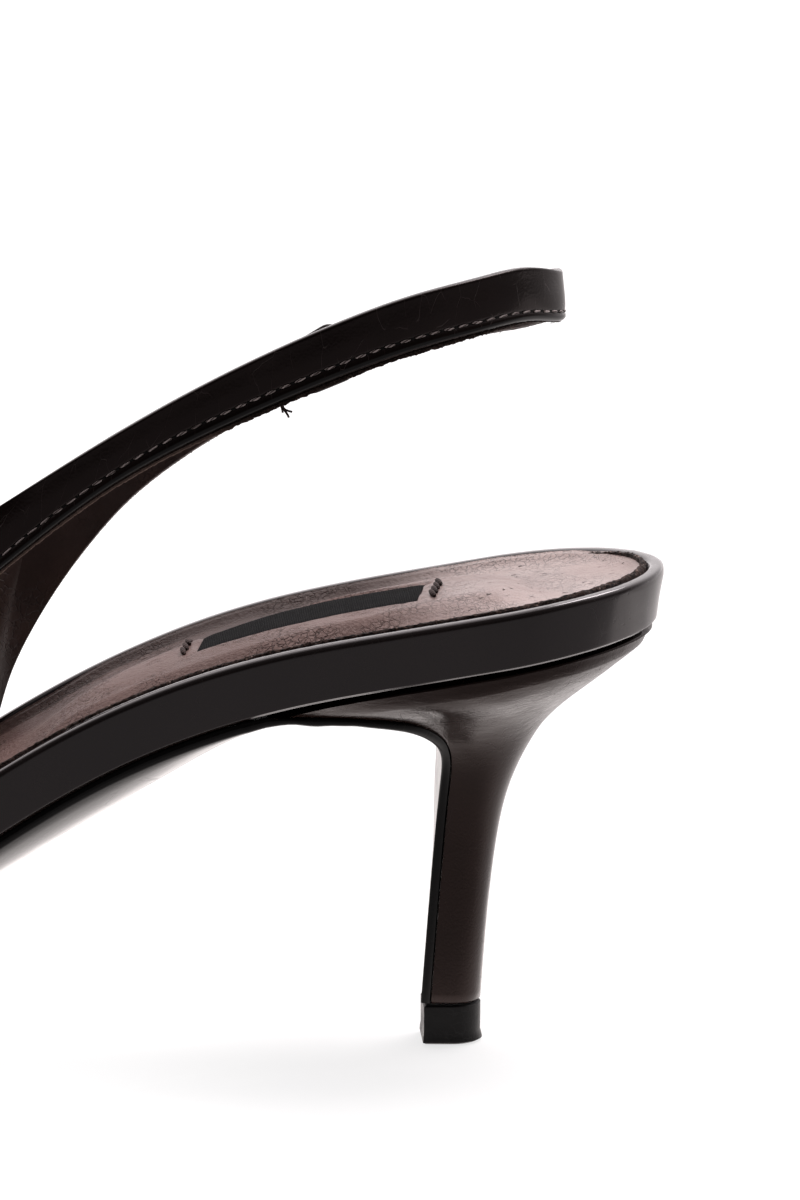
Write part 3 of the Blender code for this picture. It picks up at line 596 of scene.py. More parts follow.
def edgeFinish(name, look):
    # cut or inked edge: layered fibres, rough and dark
    material, tree, shader, place = startFinish(name, look)
    fibres = noise(tree, place, look["fibres"], *edgeShare["fibreNoise"])[0]
    flecks = spread(tree, cells(tree, place, look["flecks"])["Distance"], *edgeShare["fleckRun"], 1.0, 0.0)
    tone = mixTones(tree, spread(tree, fibres, *edgeShare["fibreRun"], 0.0, 1.0), look["dark"], look["light"])
    tone = mixTones(tree, times(tree, flecks, look["fleckTone"]), tone, look["fleckColour"])
    if "paler" in look:  # paler towards the front
        paler = look["paler"]
        front = spread(tree, axisOf(tree, place, "X"), *paler["run"], 0.0, paler["share"])
        tone = mixTones(tree, front, tone, paler["tone"])
    gloss = smudged(tree, place, edgeShare["smudge"], look["gloss"])
    normal = bumped(tree, fibres, look["depth"])
    feed(tree, shader, {"Base Color": tone, "Roughness": gloss, "Normal": normal})
    return material


inkedEdge = edgeFinish("inkedEdge", {
    "dark": (0.0016, 0.0013, 0.0012), "light": (0.0035, 0.0027, 0.0024), "fleckColour": (0.008, 0.006, 0.005),
    "fleckTone": 0.2, "fibres": 500.0, "flecks": 900.0,
    "gloss": (0.12, 0.22), "depth": 0.015, "specular": 0.22})
cutEdge = edgeFinish("cutEdge", {
    "dark": (0.006, 0.003, 0.0025), "light": (0.07, 0.042, 0.034), "fleckColour": (0.26, 0.18, 0.155),
    "fleckTone": 0.7, "fibres": 1300.0, "flecks": 950.0,
    "gloss": (0.5, 0.75), "depth": 0.2, "specular": 0.1})
rawEdge = edgeFinish("rawEdge", {
    "dark": (0.02, 0.011, 0.0088), "light": (0.11, 0.07, 0.056), "fleckColour": (0.26, 0.18, 0.15),
    "fleckTone": 0.55, "fibres": 1600.0, "flecks": 1400.0,
    "gloss": (0.55, 0.8), "depth": 0.2, "specular": 0.3,
    "paler": {"run": (-0.062, -0.045), "share": 0.75, "tone": (0.34, 0.24, 0.2)}})
# painted shade: near-black blobs that stand for the dark stitch holes
stitchHoleShade = edgeFinish("stitchHoleShade", {
    "dark": (0.001, 0.001, 0.001), "light": (0.003, 0.0025, 0.0025), "fleckColour": (0.006, 0.005, 0.005),
    "fleckTone": 0.3, "fibres": 2000.0, "flecks": 2000.0,
    "gloss": (0.6, 0.8), "depth": 0.03, "specular": 0.2})
wovenLook = {
    "warp": (950.0, "X"), "weft": (1150.0, "Y"), "wobble": 0.8, "dust": 260.0, "dustRun": (0.35, 0.7),
    "dark": (0.002, 0.0021, 0.0023), "light": (0.016, 0.0165, 0.018), "least": 0.3,
    "gloss": (0.9, 0.65), "depth": 0.06, "specular": 0.04,
}
platedLook = {
    "rubs": 1400.0, "dark": (0.012, 0.0105, 0.01), "light": (0.03, 0.027, 0.025), "metallic": 1.0,
    "smudge": 600.0, "gloss": (0.38, 0.55), "depth": 0.01,
}


def labelFinish(name, look):
    # plain woven label, bare, with a fine warp and weft
    material, tree, shader, place = startFinish(name, look)
    bands = []
    for size, axis in (look["warp"], look["weft"]):
        inputs = {"Vector": place, "Scale": size, "Distortion": look["wobble"]}
        bands.append(put(tree, "ShaderNodeTexWave", inputs, bands_direction=axis).outputs["Fac"])
    weave = times(tree, *bands)
    dust = spread(tree, noise(tree, place, look["dust"], 5.0, 0.7)[0], *look["dustRun"], look["least"], 1.0)
    tone = mixTones(tree, times(tree, weave, dust), look["dark"], look["light"])
    gloss = spread(tree, weave, 0.0, 1.0, *look["gloss"])
    normal = bumped(tree, weave, look["depth"])
    feed(tree, shader, {"Base Color": tone, "Roughness": gloss, "Normal": normal})
    return material


def metalFinish(name, look):
    # dark plated wire with fine rub marks
    material, tree, shader, place = startFinish(name, look)
    rubs = noise(tree, place, look["rubs"], 4.0, warp=1.0)[0]
    tone = mixTones(tree, rubs, look["dark"], look["light"])
    gloss = smudged(tree, place, look["smudge"], look["gloss"])
    normal = bumped(tree, rubs, look["depth"])
    feed(tree, shader, {"Base Color": tone, "Roughness": gloss, "Normal": normal})
    return material


wovenLabel, platedWire = labelFinish("wovenLabel", wovenLook), metalFinish("platedWire", platedLook)
print("finishes", len(bpy.data.materials))


# stitches and loose fibres follow a path, so each is one node tree
def alongPath(tree, given):
    # points at even steps along the path, each turned to lie along it and face out
    path = put(tree, "GeometryNodeMeshToCurve", {"Mesh": given["Geometry"]}).outputs[0]
    points = put(tree, "GeometryNodeResampleCurve", {"Curve": path, "Length": given["Pitch"]}, mode="LENGTH")
    tangent = put(tree, "GeometryNodeInputTangent").outputs[0]
    named = put(tree, "GeometryNodeInputNamedAttribute", {"Name": "outward"}, data_type="FLOAT_VECTOR")
    outward = named.outputs[0]
    first = put(tree, "FunctionNodeAlignRotationToVector", {"Vector": tangent}, axis="X", pivot_axis="AUTO")
    turn = put(tree, "FunctionNodeAlignRotationToVector", {"Rotation": first.outputs[0], "Vector": outward},
               axis="Z", pivot_axis="X")
    return points.outputs[0], tangent, outward, turn.outputs[0]


def combined(tree, x, y, z):
    return put(tree, "ShaderNodeCombineXYZ", {0: x, 1: y, 2: z}).outputs[0]


def turnedBy(tree, turn, angles):
    euler = put(tree, "FunctionNodeEulerToRotation", {0: angles}).outputs[0]
    return put(tree, "FunctionNodeRotateRotation", {0: turn, 1: euler}, rotation_space="LOCAL").outputs[0]


def drawnFrom(tree, low, high, seed):
    return put(tree, "FunctionNodeRandomValue", {2: low, 3: high, "Seed": seed}, data_type="FLOAT").outputs[1]


def copiesAt(tree, points, shape, turn, size, finish, soft):
    # real copies of a shape at points, in one finish
    inputs = {"Points": points, "Instance": shape, "Rotation": turn, "Scale": size}
    copies = put(tree, "GeometryNodeInstanceOnPoints", inputs).outputs[0]
    real = put(tree, "GeometryNodeRealizeInstances", {0: copies}).outputs[0]
    if soft:
        real = put(tree, "GeometryNodeSetShadeSmooth", {0: real}).outputs[0]
    return put(tree, "GeometryNodeSetMaterial", {"Geometry": real, "Material": finish}).outputs[0]


stitch = {"jitter": 0.06, "threadBall": (8, 6), "holeBall": (8, 4), "holeFlat": 0.35}
fibre = {"sides": 4, "parts": 2, "tip": 0.15, "root": 0.5, "twist": 3.0}


def makeStitchTree():
    ins = {
        "Geometry": "Geometry", "Pitch": 0.0024, "Length": 0.0018, "Thickness": 0.0005, "Slant": 0.1,
        "Lift": 0.0, "Hole": 0.0005, "Seed": 3, "Thread": "Material", "Dark": "Material"}
    tree, given, out = newTree("GeometryNodeTree", "stitchRow", ins, {"Geometry": "Geometry"})
    points, tangent, outward, turn = alongPath(tree, given)

    def ball(segments, rings):
        inputs = {"Segments": segments, "Rings": rings, "Radius": 0.5}
        return put(tree, "GeometryNodeMeshUVSphere", inputs).outputs[0]

    def moved(way, far):
        offset = vectors(tree, "SCALE", {0: way, "Scale": far})
        return put(tree, "GeometryNodeSetPosition", {"Geometry": points, "Offset": offset}).outputs[0]

    jitter = drawnFrom(tree, -stitch["jitter"], stitch["jitter"], given["Seed"])
    facing = turnedBy(tree, turn, combined(tree, 0.0, 0.0, sums(tree, "ADD", given["Slant"], jitter)))
    size = combined(tree, given["Length"], given["Thickness"], given["Thickness"])
    holeSize = combined(tree, given["Hole"], given["Hole"], times(tree, given["Hole"], stitch["holeFlat"]))
    # flat blobs at the gaps stand for the stitch holes, near black in the seam as painted shade
    seats, gaps = moved(outward, given["Lift"]), moved(tangent, times(tree, given["Pitch"], 0.5))
    joined = tree.nodes.new("GeometryNodeJoinGeometry")
    for part in (
            copiesAt(tree, seats, ball(*stitch["threadBall"]), facing, size, given["Thread"], True),
            copiesAt(tree, gaps, ball(*stitch["holeBall"]), turn, holeSize, given["Dark"], True)):
        tree.links.new(part, joined.inputs[0])
    feed(tree, out, {"Geometry": joined.outputs[0]})
    return tree


def makeFibreTree():
    ins = {
        "Geometry": "Geometry", "Pitch": 0.0008, "Shortest": 0.0003, "Longest": 0.001, "Thickness": 0.00012,
        "Spread": 0.9, "Seed": 5, "Fibre": "Material"}
    tree, given, out = newTree("GeometryNodeTree", "looseFibres", ins, {"Geometry": "Geometry"})
    points, _, _, turn = alongPath(tree, given)
    cone = put(tree, "GeometryNodeMeshCone", {
        "Vertices": fibre["sides"], "Side Segments": fibre["parts"], "Radius Top": fibre["tip"],
        "Radius Bottom": fibre["root"], "Depth": 1.0}).outputs[0]
    wide = combined(tree, given["Spread"], given["Spread"], fibre["twist"])
    limits = {0: vectors(tree, "SCALE", {0: wide, "Scale": -1.0}), 1: wide, "Seed": given["Seed"]}
    lean = put(tree, "FunctionNodeRandomValue", limits, data_type="FLOAT_VECTOR").outputs[0]
    tall = drawnFrom(tree, given["Shortest"], given["Longest"], given["Seed"])
    size = combined(tree, given["Thickness"], given["Thickness"], tall)
    hairs = copiesAt(tree, points, cone, turnedBy(tree, turn, lean), size, given["Fibre"], False)
    feed(tree, out, {"Geometry": hairs})
    return tree


stitchTree, fibreTree = makeStitchTree(), makeFibreTree()


def growOnPaths(name, tree, paths, settings):
    # paths are (points, outward) in millimetres; the result is one plain mesh
    verts, edges, outs = [], [], []
    for points, outward in paths:
        start = len(verts)
        verts += [tuple(p) for p in placePoints(points)]
        outs += [tuple(o) for o in outward]
        edges += [(i, i + 1) for i in range(start, len(verts) - 1)]
    mesh = bpy.data.meshes.new(name + "Path")
    mesh.from_pydata(verts, edges, [])
    outwardLayer = mesh.attributes.new("outward", "FLOAT_VECTOR", "POINT")
    outwardLayer.data.foreach_set("vector", np.array(outs, np.float32).ravel())
    guide = newObject(name + "Path", mesh)
    grow = guide.modifiers.new("grow", "NODES")
    grow.node_group = tree
    names = {s.name: s.identifier for s in tree.interface.items_tree if s.in_out == "INPUT"}
    for key, value in settings.items():
        grow[names[key]] = value
    return newObject(name, plainMesh(name, guide))


# platform wrapped in hide: rounded underside, upright wall, rolled bead, dished top
rand = {
    "wall": ((0.45, 0.0), (0.12, 0.28), (0.02, 0.8), (0.0, 3.6)),
    "bead": (
        (0.0, -1.7), (0.05, -0.95), (0.26, -0.45), (0.68, -0.17), (1.4, -0.1), (2.1, -0.25), (2.6, -1.1)),
    "heelTaper": 1.2, "taperLoss": 0.5, "underShares": 12, "underEven": 1.6, "underCurve": 2.2, "finer": 4,
    "seatEdge": -1.5, "seatDish": 1.8, "dishWidth": 6.0, "dishCurve": 2.6,
    "seatShares": (0.0, 0.1, 0.3, 0.6, 1.0),
    "soft": (0.012, 14.0, 4), "worn": (0.03, 5.0, 6),  # unevenness: depth, size, seed
    "wornRun": (4.0, 30.0),
}


def underside(plan, share):
    behind = np.minimum(plan[:, 0], shoe["treadBack"])
    sag = np.maximum(sagDepth(behind), 0)
    return -randHeight(behind) - sag * (1 - (1 - share) ** rand["underCurve"])


def seatOver(plan, share):
    run = np.clip(share * halfWidth(plan[:, 0]) / rand["dishWidth"], 0, 1)
    return rand["seatEdge"] - rand["seatDish"] * (1 - (1 - run) ** rand["dishCurve"])


def finer(rows, steps):
    table, index = np.array(rows, float), np.arange(len(rows))
    at = np.linspace(0, len(rows) - 1, (len(rows) - 1) * steps + 1)
    return np.column_stack([curveThrough(index, c)(at) for c in table.T])


def makeRand():
    taper = rand["heelTaper"] * (1 - endCaps(np.minimum(stationsHeelToToe(), shoe["heelCap"])))
    foot = loopOf(rand["wall"][0][0] + taper)
    rings = []
    for share in np.linspace(1, 0, rand["underShares"]) ** rand["underEven"]:
        plan = inwards(foot, share)
        rings.append(lifted(plan, underside(plan, share)))
    wallTop = rand["wall"][-1][1]
    for inset, overFoot in finer(rand["wall"], rand["finer"])[1:]:
        plan = loopOf(inset + taper * (1 - overFoot / wallTop * rand["taperLoss"]))
        rings.append(lifted(plan, overFoot - randHeight(plan[:, 0])))
    for inset, over in finer(rand["bead"], rand["finer"]):
        rings.append(lifted(loopOf(inset), np.full(1, over)))
    edge = loopOf(shoe["beadWidth"] + shoe["gap"])
    for share in rand["seatShares"]:
        plan = inwards(edge, share)
        rings.append(lifted(plan, seatOver(plan, share)))

    def soften(points):
        back = 1 - smoothStep(points[:, 0], *rand["wornRun"])
        return uneven(points, *rand["soft"]) + back * uneven(points, *rand["worn"])

    return loftPiece("wrappedMidsole", rings, randHide, shape=soften)


settle(makeRand(), "rand_leather", "wrapped_midsole")
print("wrapped midsole")

# insole with padding, a cut edge and a sewn label place
insole = {
    "wall": 1.6, "padHeight": 2.7, "padFall": 1.2, "padFallRun": (35.0, 75.0),
    "padBack": 16.5, "padFront": 98.0, "padEdge": 5.0, "padCorner": 10.0,
    "padSoft": 8.0, "padSoftRun": (20.0, 48.0), "padFar": (9.0, 7.0), "padFarRun": (28.0, 62.0),
    "toeEase": 0.7, "tuck": (20.0, 8.0), "junctions": (129.0, 103.0),
    # rimRun, rimFade and the hollow keys place the painted shade
    "edgeRound": 1.1, "edgeDrop": 0.55, "rimRun": (2.8, 4.2), "rimFade": (5.0, 30.0),
    "hollowShade": 0.9, "hollowSide": (2.0, 8.0), "hollowFade": (58.0, 85.0), "hollowLess": 0.5,
    "underShares": (1.0, 0.6, 0.3, 0.12, 0.04, 0.0),
    "edgeShares": (0.0, 0.12, 10), "topShares": (0.14, 1.0, 44),
    "soft": (0.05, 12.0, 9), "worn": (0.05, 4.0, 2), "wornRun": (30.0, 60.0),
}
label = {
    "middle": (53.5, -0.2), "long": 34.2, "wide": 13.0, "turn": 0.17, "depth": 0.4, "soft": 0.6,
    "thick": 0.32, "under": 0.03, "margin": 0.35, "stepsAlong": 60, "stepsAcross": 22,
    "foldRun": 0.8, "foldThick": (0.55, 1.0), "sideFrom": 0.85, "sideFall": 0.8, "waves": (0.03, 7.0, 12),
}


def padOver(plan):
    # cushion with rounded corners, thickest and drawn in on the far side at the heel
    station, off = plan[:, 0], plan[:, 1] - centreLine(plan[:, 0])
    half = halfWidth(station) * endCaps(station) - shoe["beadWidth"] - rand["dishWidth"] / 2
    drawnIn = between(insole["padFar"], smoothStep(station, *insole["padFarRun"]))
    nearEdge = insole["padEdge"] + insole["padSoft"] * (1 - smoothStep(station, *insole["padSoftRun"]))
    far, near = half + off - drawnIn, half - off
    ends = np.minimum(station - insole["padBack"], insole["padFront"] - station) / 2
    corner = insole["padCorner"]
    inset = corner - np.hypot(np.maximum(corner - far, 0), np.maximum(corner - ends, 0))
    high = insole["padHeight"] - insole["padFall"] * smoothStep(station, *insole["padFallRun"])
    return high * smoothStep(inset, 0, insole["padEdge"]) * smoothStep(near / nearEdge, 0, 1)


labelCos, labelSin = math.cos(label["turn"]), math.sin(label["turn"])
labelAxes = np.array(((labelCos, labelSin), (-labelSin, labelCos)))


def labelSpot(along, across):
    return label["middle"] + labelAxes @ (along, across)


def labelDip(plan):
    away = np.abs((plan[:, :2] - label["middle"]) @ labelAxes)
    inside = np.min((label["long"] / 2, label["wide"] / 2) - away, axis=1)
    return label["depth"] * smoothStep(inside, -label["soft"] / 2, label["soft"] / 2)


def insoleEdge(extra=0.0):
    stations = stationsHeelToToe()
    toe = 1 - endCaps(np.maximum(stations, shoe["heelCap"]))
    room = shoe["upperWall"] + shoe["gap"] * 3 + insole["toeEase"] * toe
    sides = []
    for index, junction in enumerate(insole["junctions"]):
        drawnIn = smoothStep(stations, junction - insole["tuck"][0], junction - insole["tuck"][1])
        sides.append(outline(shoe["beadWidth"] + shoe["gap"] + room * drawnIn + extra)[index])
    return np.concatenate([sides[0], sides[1][-2:0:-1]])


def insoleTop(plan, share):
    return seatOver(plan, share) + shoe["gap"] + insole["wall"] + padOver(plan) - labelDip(plan)


def makeInsole():
    edge = insoleEdge()
    shares = np.concatenate([np.linspace(*insole["edgeShares"]), np.linspace(*insole["topShares"])])
    rings = []
    for share in insole["underShares"]:
        plan = inwards(edge, share)
        rings.append(lifted(plan, seatOver(plan, share) + shoe["gap"]))
    reach = np.linalg.norm(spineOf(edge) - edge, axis=1)
    for share in shares:
        plan = inwards(edge, share)
        drop = insole["edgeDrop"] * (1 - smoothStep(share * reach, 0, insole["edgeRound"]))
        rings.append(lifted(plan, insoleTop(plan, share) - drop))
    build = bmesh.new()
    rimShade = build.verts.layers.float.new("rimShade")
    rows = loft(build, rings)
    # painted shade, full near the edge and gone a few millimetres in
    for share, row in zip(shares, rows[-len(shares):]):
        for vert, far in zip(row, reach):
            vert[rimShade] = 1 - float(smoothStep(share * far, *insole["rimRun"]))
    # painted shade: darker hollow between the cushion and the far rim, fading out at the heel
    plan = np.array([v.co[:2] for v in build.verts])
    hollowShade = insole["hollowShade"] * (1 - padOver(plan) / insole["padHeight"])
    hollowShade *= smoothStep(-plan[:, 1], *insole["hollowSide"])
    hollowShade *= 1 - insole["hollowLess"] * smoothStep(plan[:, 0], *insole["hollowFade"])
    shown = smoothStep(plan[:, 0], *insole["rimFade"])
    for vert, deep, share in zip(build.verts, hollowShade, shown):
        vert[rimShade] = max(vert[rimShade], deep) * share

    def soften(points):
        back = 1 - smoothStep(points[:, 0], *insole["wornRun"])
        return uneven(points, *insole["soft"]) + back * uneven(points, *insole["worn"])

    return meshPiece("insoleSock", build, [insoleHide], shape=soften)


settle(makeInsole(), "insole_leather", "insole")
print("insole")


# ragged cut edge between the insole and the bead
cutStrip = {
    "outer": -0.25, "wide": 0.3, "wideHeel": 0.75, "heelRun": (6.0, 40.0), "finer": 4,
    "rows": (  # place across, height, roughness, seed
        (0.0, -0.7, 0.0, 1), (0.05, -0.1, 0.5, 2), (0.3, 0.22, 1.0, 3),
        (0.65, 0.3, 1.0, 4), (1.0, 0.3, 0.7, 5), (1.0, -0.7, 0.0, 6)),
    "ragged": 0.22, "raggedRun": (0.7, 1.3), "heelHigher": 0.4,
    "shakes": ((1.3, 0, 0.6), (3.1, 20, 0.4)),  # points to a value, seed, share
    "stray": 0.1, "strayEvery": 2.0, "straySeed": 40, "strayMost": 1.15,
    "farDrop": 0.8, "farSide": (-4.0, 6.0), "farRun": (3.0, 12.0),
}


def makeCutStrip():
    outer, inner = insoleEdge(cutStrip["outer"]), insoleEdge(cutStrip["wide"])
    atHeel = (1 - smoothStep(outer[:, 0], *cutStrip["heelRun"]))[:, None]
    inner = inner * (1 - atHeel) + insoleEdge(cutStrip["wideHeel"]) * atHeel
    count = len(outer) * cutStrip["finer"]
    at = np.linspace(0, len(outer), count, endpoint=False)
    closedIndex = np.arange(len(outer) + 1)
    outer, inner = (resampled(at, closedIndex, np.vstack([line, line[:1]])) for line in (outer, inner))
    base = shoe["gap"] + insole["wall"] + rand["seatEdge"] - insole["edgeDrop"]
    back = 1 - smoothStep(outer[:, 0], *cutStrip["heelRun"])
    ragged = cutStrip["ragged"] * between(cutStrip["raggedRun"], back)
    far = smoothStep(-outer[:, 1], *cutStrip["farSide"]) * smoothStep(outer[:, 0], *cutStrip["farRun"])
    rows = []
    for share, over, rough, seed in cutStrip["rows"]:
        shake = sum(ripple(count, every, seed + more) * part for every, more, part in cutStrip["shakes"])
        stray = ripple(count, cutStrip["strayEvery"], seed + cutStrip["straySeed"])
        across = np.clip(share + cutStrip["stray"] * rough * stray, 0, cutStrip["strayMost"])
        plan = outer + (inner - outer) * across[:, None]
        lift = base + over * (1 + cutStrip["heelHigher"] * back) + ragged * rough * shake
        rows.append(lifted(plan, lift - cutStrip["farDrop"] * far))
    return loftPiece("insoleCutEdge", rows + [rows[0]], cutEdge, sharpAngle=40)


settle(makeCutStrip(), "insole_leather")


def insolePoint(station, out, over=0.0):
    plan = np.array([(station, out)], float)
    return lifted(plan, insoleTop(plan, np.ones(1)) + over)[0]


def makeLabel():
    # woven strip that follows the padding, thinner towards its ends
    half = label["wide"] / 2 - label["margin"]
    end = label["long"] / 2 - label["margin"]
    acrosses = np.linspace(half, -half, label["stepsAcross"])
    sideFall = label["sideFall"] * np.maximum(0, np.abs(acrosses / half) - label["sideFrom"])
    rings = []
    for along in np.linspace(-end, end, label["stepsAlong"]):
        thick = label["thick"] * between(label["foldThick"], min(1, (end - abs(along)) / label["foldRun"]))
        spots = [labelSpot(along, across) for across in acrosses]
        top = [insolePoint(*spot, over) for spot, over in zip(spots, thick - sideFall)]
        low = [insolePoint(*spot, label["under"]) for spot in spots[::-1]]
        rings.append(top + low)

    def soften(points):
        return uneven(points, *label["waves"])

    return loftPiece("insoleLabel", rings, wovenLabel, capped=True, shape=soften)


settle(makeLabel(), "insole_leather")

# rows of thread that tack the label down, one past each end
tacks = {"away": 1.9, "in": 2.4, "over": 0.2, "points": 40}
tackStitch = {
    "Pitch": 0.0026, "Length": 0.0042, "Thickness": 0.0009, "Slant": 0.28, "Lift": 0.0001, "Hole": 0.0004,
    "Seed": 6, "Thread": tackThread, "Dark": tackThread,
}


def makeTacks():
    paths = []
    reach = label["long"] / 2 + tacks["away"]
    half = label["wide"] / 2 - tacks["in"]
    acrosses = np.linspace(half, -half, tacks["points"])
    for along in (-reach, reach):
        points = np.array([insolePoint(*labelSpot(along, across), tacks["over"]) for across in acrosses])
        paths.append((points, np.tile((0.0, 0.0, 1.0), (len(points), 1))))
    return growOnPaths("labelTacks", stitchTree, paths, tackStitch)


settle(makeTacks(), "insole_leather")
print("cut edge, label, tacks")

# covered heel: level sections from the tip up, leaning from front to back
heel = {
    "rows": (  # front up, back up, front, shoulder, back, half width in front, half width
        (6.3, 6.3, 35.5, 32.0, 27.7, 4.6, 5.0),
        (19.4, 19.4, 34.5, 31.2, 26.7, 4.8, 5.2),
        (31.8, 31.8, 33.5, 30.2, 25.2, 5.4, 5.8),
        (40.0, 40.0, 32.8, 29.0, 23.2, 6.7, 7.2),
        (45.0, 46.2, 32.6, 28.8, 20.3, 8.5, 9.2),
        (48.6, 51.0, 34.0, 28.8, 16.8, 11.0, 12.2),
        (51.3, 55.2, 37.6, 28.8, 11.9, 14.2, 16.4),
        (52.7, 59.0, 42.8, 28.8, 7.0, 16.8, 20.4),
        (53.6, 62.2, 51.0, 28.4, 3.0, 18.6, 22.8),
    ),
    "seat": {"front": 61.0, "back": 1.7, "frontHalf": 20.9, "half": 23.5},
    "gap": 0.4, "steps": 9, "sidePoints": 14, "backPoints": 26, "acrossPoints": 15,
    "tuck": (0.93, 0.93, 1.0), "tuckUp": 0.25, "seatShares": (0.35, 0.65, 0.85, 0.95),
    "rimDrop": 0.95, "rimShares": (0.25, 0.7, 1.0), "rimRun": (-1.0, 2.0),
    "sideRun": (3.0, 9.0), "flareRun": (42.0, 52.0), "soft": (0.03, 5.0, 31),
    "creases": (  # start station and up, end station and up, width, depth
        (41.0, 56.5, 33.0, 52.0, 0.9, 0.16),
        (37.5, 58.2, 30.0, 54.2, 1.1, 0.14),
        (44.0, 54.9, 37.0, 53.4, 0.8, 0.12),
        (31.0, 56.4, 24.0, 51.0, 1.3, 0.12),
        (24.5, 60.0, 19.0, 52.5, 1.5, 0.12),
        (18.0, 61.0, 13.5, 55.0, 1.6, 0.1),
        (33.0, 50.2, 28.5, 45.4, 1.0, 0.08),
    ),
}


def heelRing(row):
    frontUp, backUp, front, shoulder, back, frontHalf, half = row
    run = np.linspace(0, 1, heel["sidePoints"], endpoint=False)
    side = np.column_stack([front + (shoulder - front) * run,
                            frontHalf + (half - frontHalf) * np.sin(run * math.pi / 2)])
    turn = np.linspace(0, math.pi, heel["backPoints"] * 2 + 1)
    rear = np.column_stack([shoulder - (shoulder - back) * np.sin(turn), half * np.cos(turn)])
    across = np.linspace(-1, 1, heel["acrossPoints"])[1:-1]
    breast = np.column_stack([np.full(len(across), front), across * frontHalf])
    plan = np.concatenate([side, rear, side[::-1] * (1, -1), breast])
    lean = (plan[:, 0] - front) / (back - front)
    return np.column_stack([plan, frontUp + (backUp - frontUp) * lean])


def underRand(plan):
    half = halfWidth(plan[:, 0]) - rand["wall"][0][0]
    share = np.clip(1 - np.abs(plan[:, 1] - centreLine(plan[:, 0])) / half, 0, 1)
    return lifted(plan, underside(plan, share) - heel["gap"])


def heelSeatRing():
    row = list(heel["rows"][-1])
    seat = heel["seat"]
    row[2], row[4], row[5], row[6] = seat["front"], seat["back"], seat["frontHalf"], seat["half"]
    plan = heelRing(row)[:, :2]
    plan[:, 1] += centreLine(plan[:, 0])
    return underRand(plan)


def makeHeel():
    rings = [heelRing(row) for row in finer(heel["rows"], heel["steps"])]
    foot = rings[0]
    middle = foot.mean(axis=0)
    rings = [middle + (foot - middle) * heel["tuck"], foot + (0, 0, heel["tuckUp"])] + rings[1:]
    last, seat = rings[-1], heelSeatRing()
    rings += [last + (seat - last) * share for share in heel["seatShares"]] + [seat]
    for ring, share in zip(rings[-3:], heel["rimShares"]):
        sides = smoothStep(heel["seat"]["front"] - ring[:, 0], *heel["rimRun"])
        ring[:, 2] -= heel["rimDrop"] * share * sides
    build = bmesh.new()
    build.faces.new(loft(build, rings)[0][::-1])
    edge = seat[:2 - heel["acrossPoints"]]
    roof = []
    for i in range(len(edge) // 2 + 1):
        row = underRand(np.linspace(edge[i, :2], edge[-1 - i, :2], heel["acrossPoints"]))
        row[0], row[-1] = edge[i], edge[-1 - i]
        roof.append(row)
    loft(build, roof, closed=False)

    def pull(points):
        sides = sum(smoothStep(sign * points[:, 1], *heel["sideRun"]) for sign in (1, -1))
        flare = smoothStep(points[:, 2], *heel["flareRun"])
        return troughs(points, heel["creases"]) * sides + flare * uneven(points, *heel["soft"])

    return meshPiece("heelCover", build, [heelHide], shape=pull)


settle(makeHeel(), "heel_leather", "heel")

# rubber tip under the heel
topPiece = {
    "rows": (
        (0.0, 0.0, 36.3, 32.2, 27.9, 4.6, 4.9),
        (0.25, 0.25, 36.75, 32.2, 27.45, 4.95, 5.25),
        (0.9, 0.9, 36.7, 32.2, 27.6, 4.9, 5.15),
        (1.5, 1.5, 36.6, 32.1, 27.75, 4.8, 5.0),
        (4.0, 4.0, 36.6, 32.0, 27.7, 4.8, 5.0),
        (5.75, 5.75, 36.6, 32.0, 27.7, 4.8, 5.0),
        (6.0, 6.0, 36.3, 32.0, 28.0, 4.5, 4.7),
    ),
}


def makeTopPiece():
    rings = [heelRing(row) for row in topPiece["rows"]]
    return loftPiece("heelTopPiece", rings, tipRubber, capped=True, sharpAngle=35)


settle(makeTopPiece(), "top_piece_rubber", "heel_top_piece")
print("heel and top piece")

# thin outsole from the toe to the waist, bent down the breast of the heel
outsole = {
    "wall": 1.6, "breastWall": 1.5, "lipThin": -0.25, "lipThinRun": (36.0, 48.0), "lipOverlap": 2.0,
    "lipSteps": 10, "round": 0.3, "across": 29, "even": 0.8, "breastGap": 0.06,
    "turn": 0.62, "turnUp": (27.0, 41.0),
    "lumps": (  # station, width, depth
        (61.4, 1.8, 0.45), (57.0, 1.2, -0.12), (53.5, 1.6, 0.15), (47.5, 1.5, -0.1)),
}


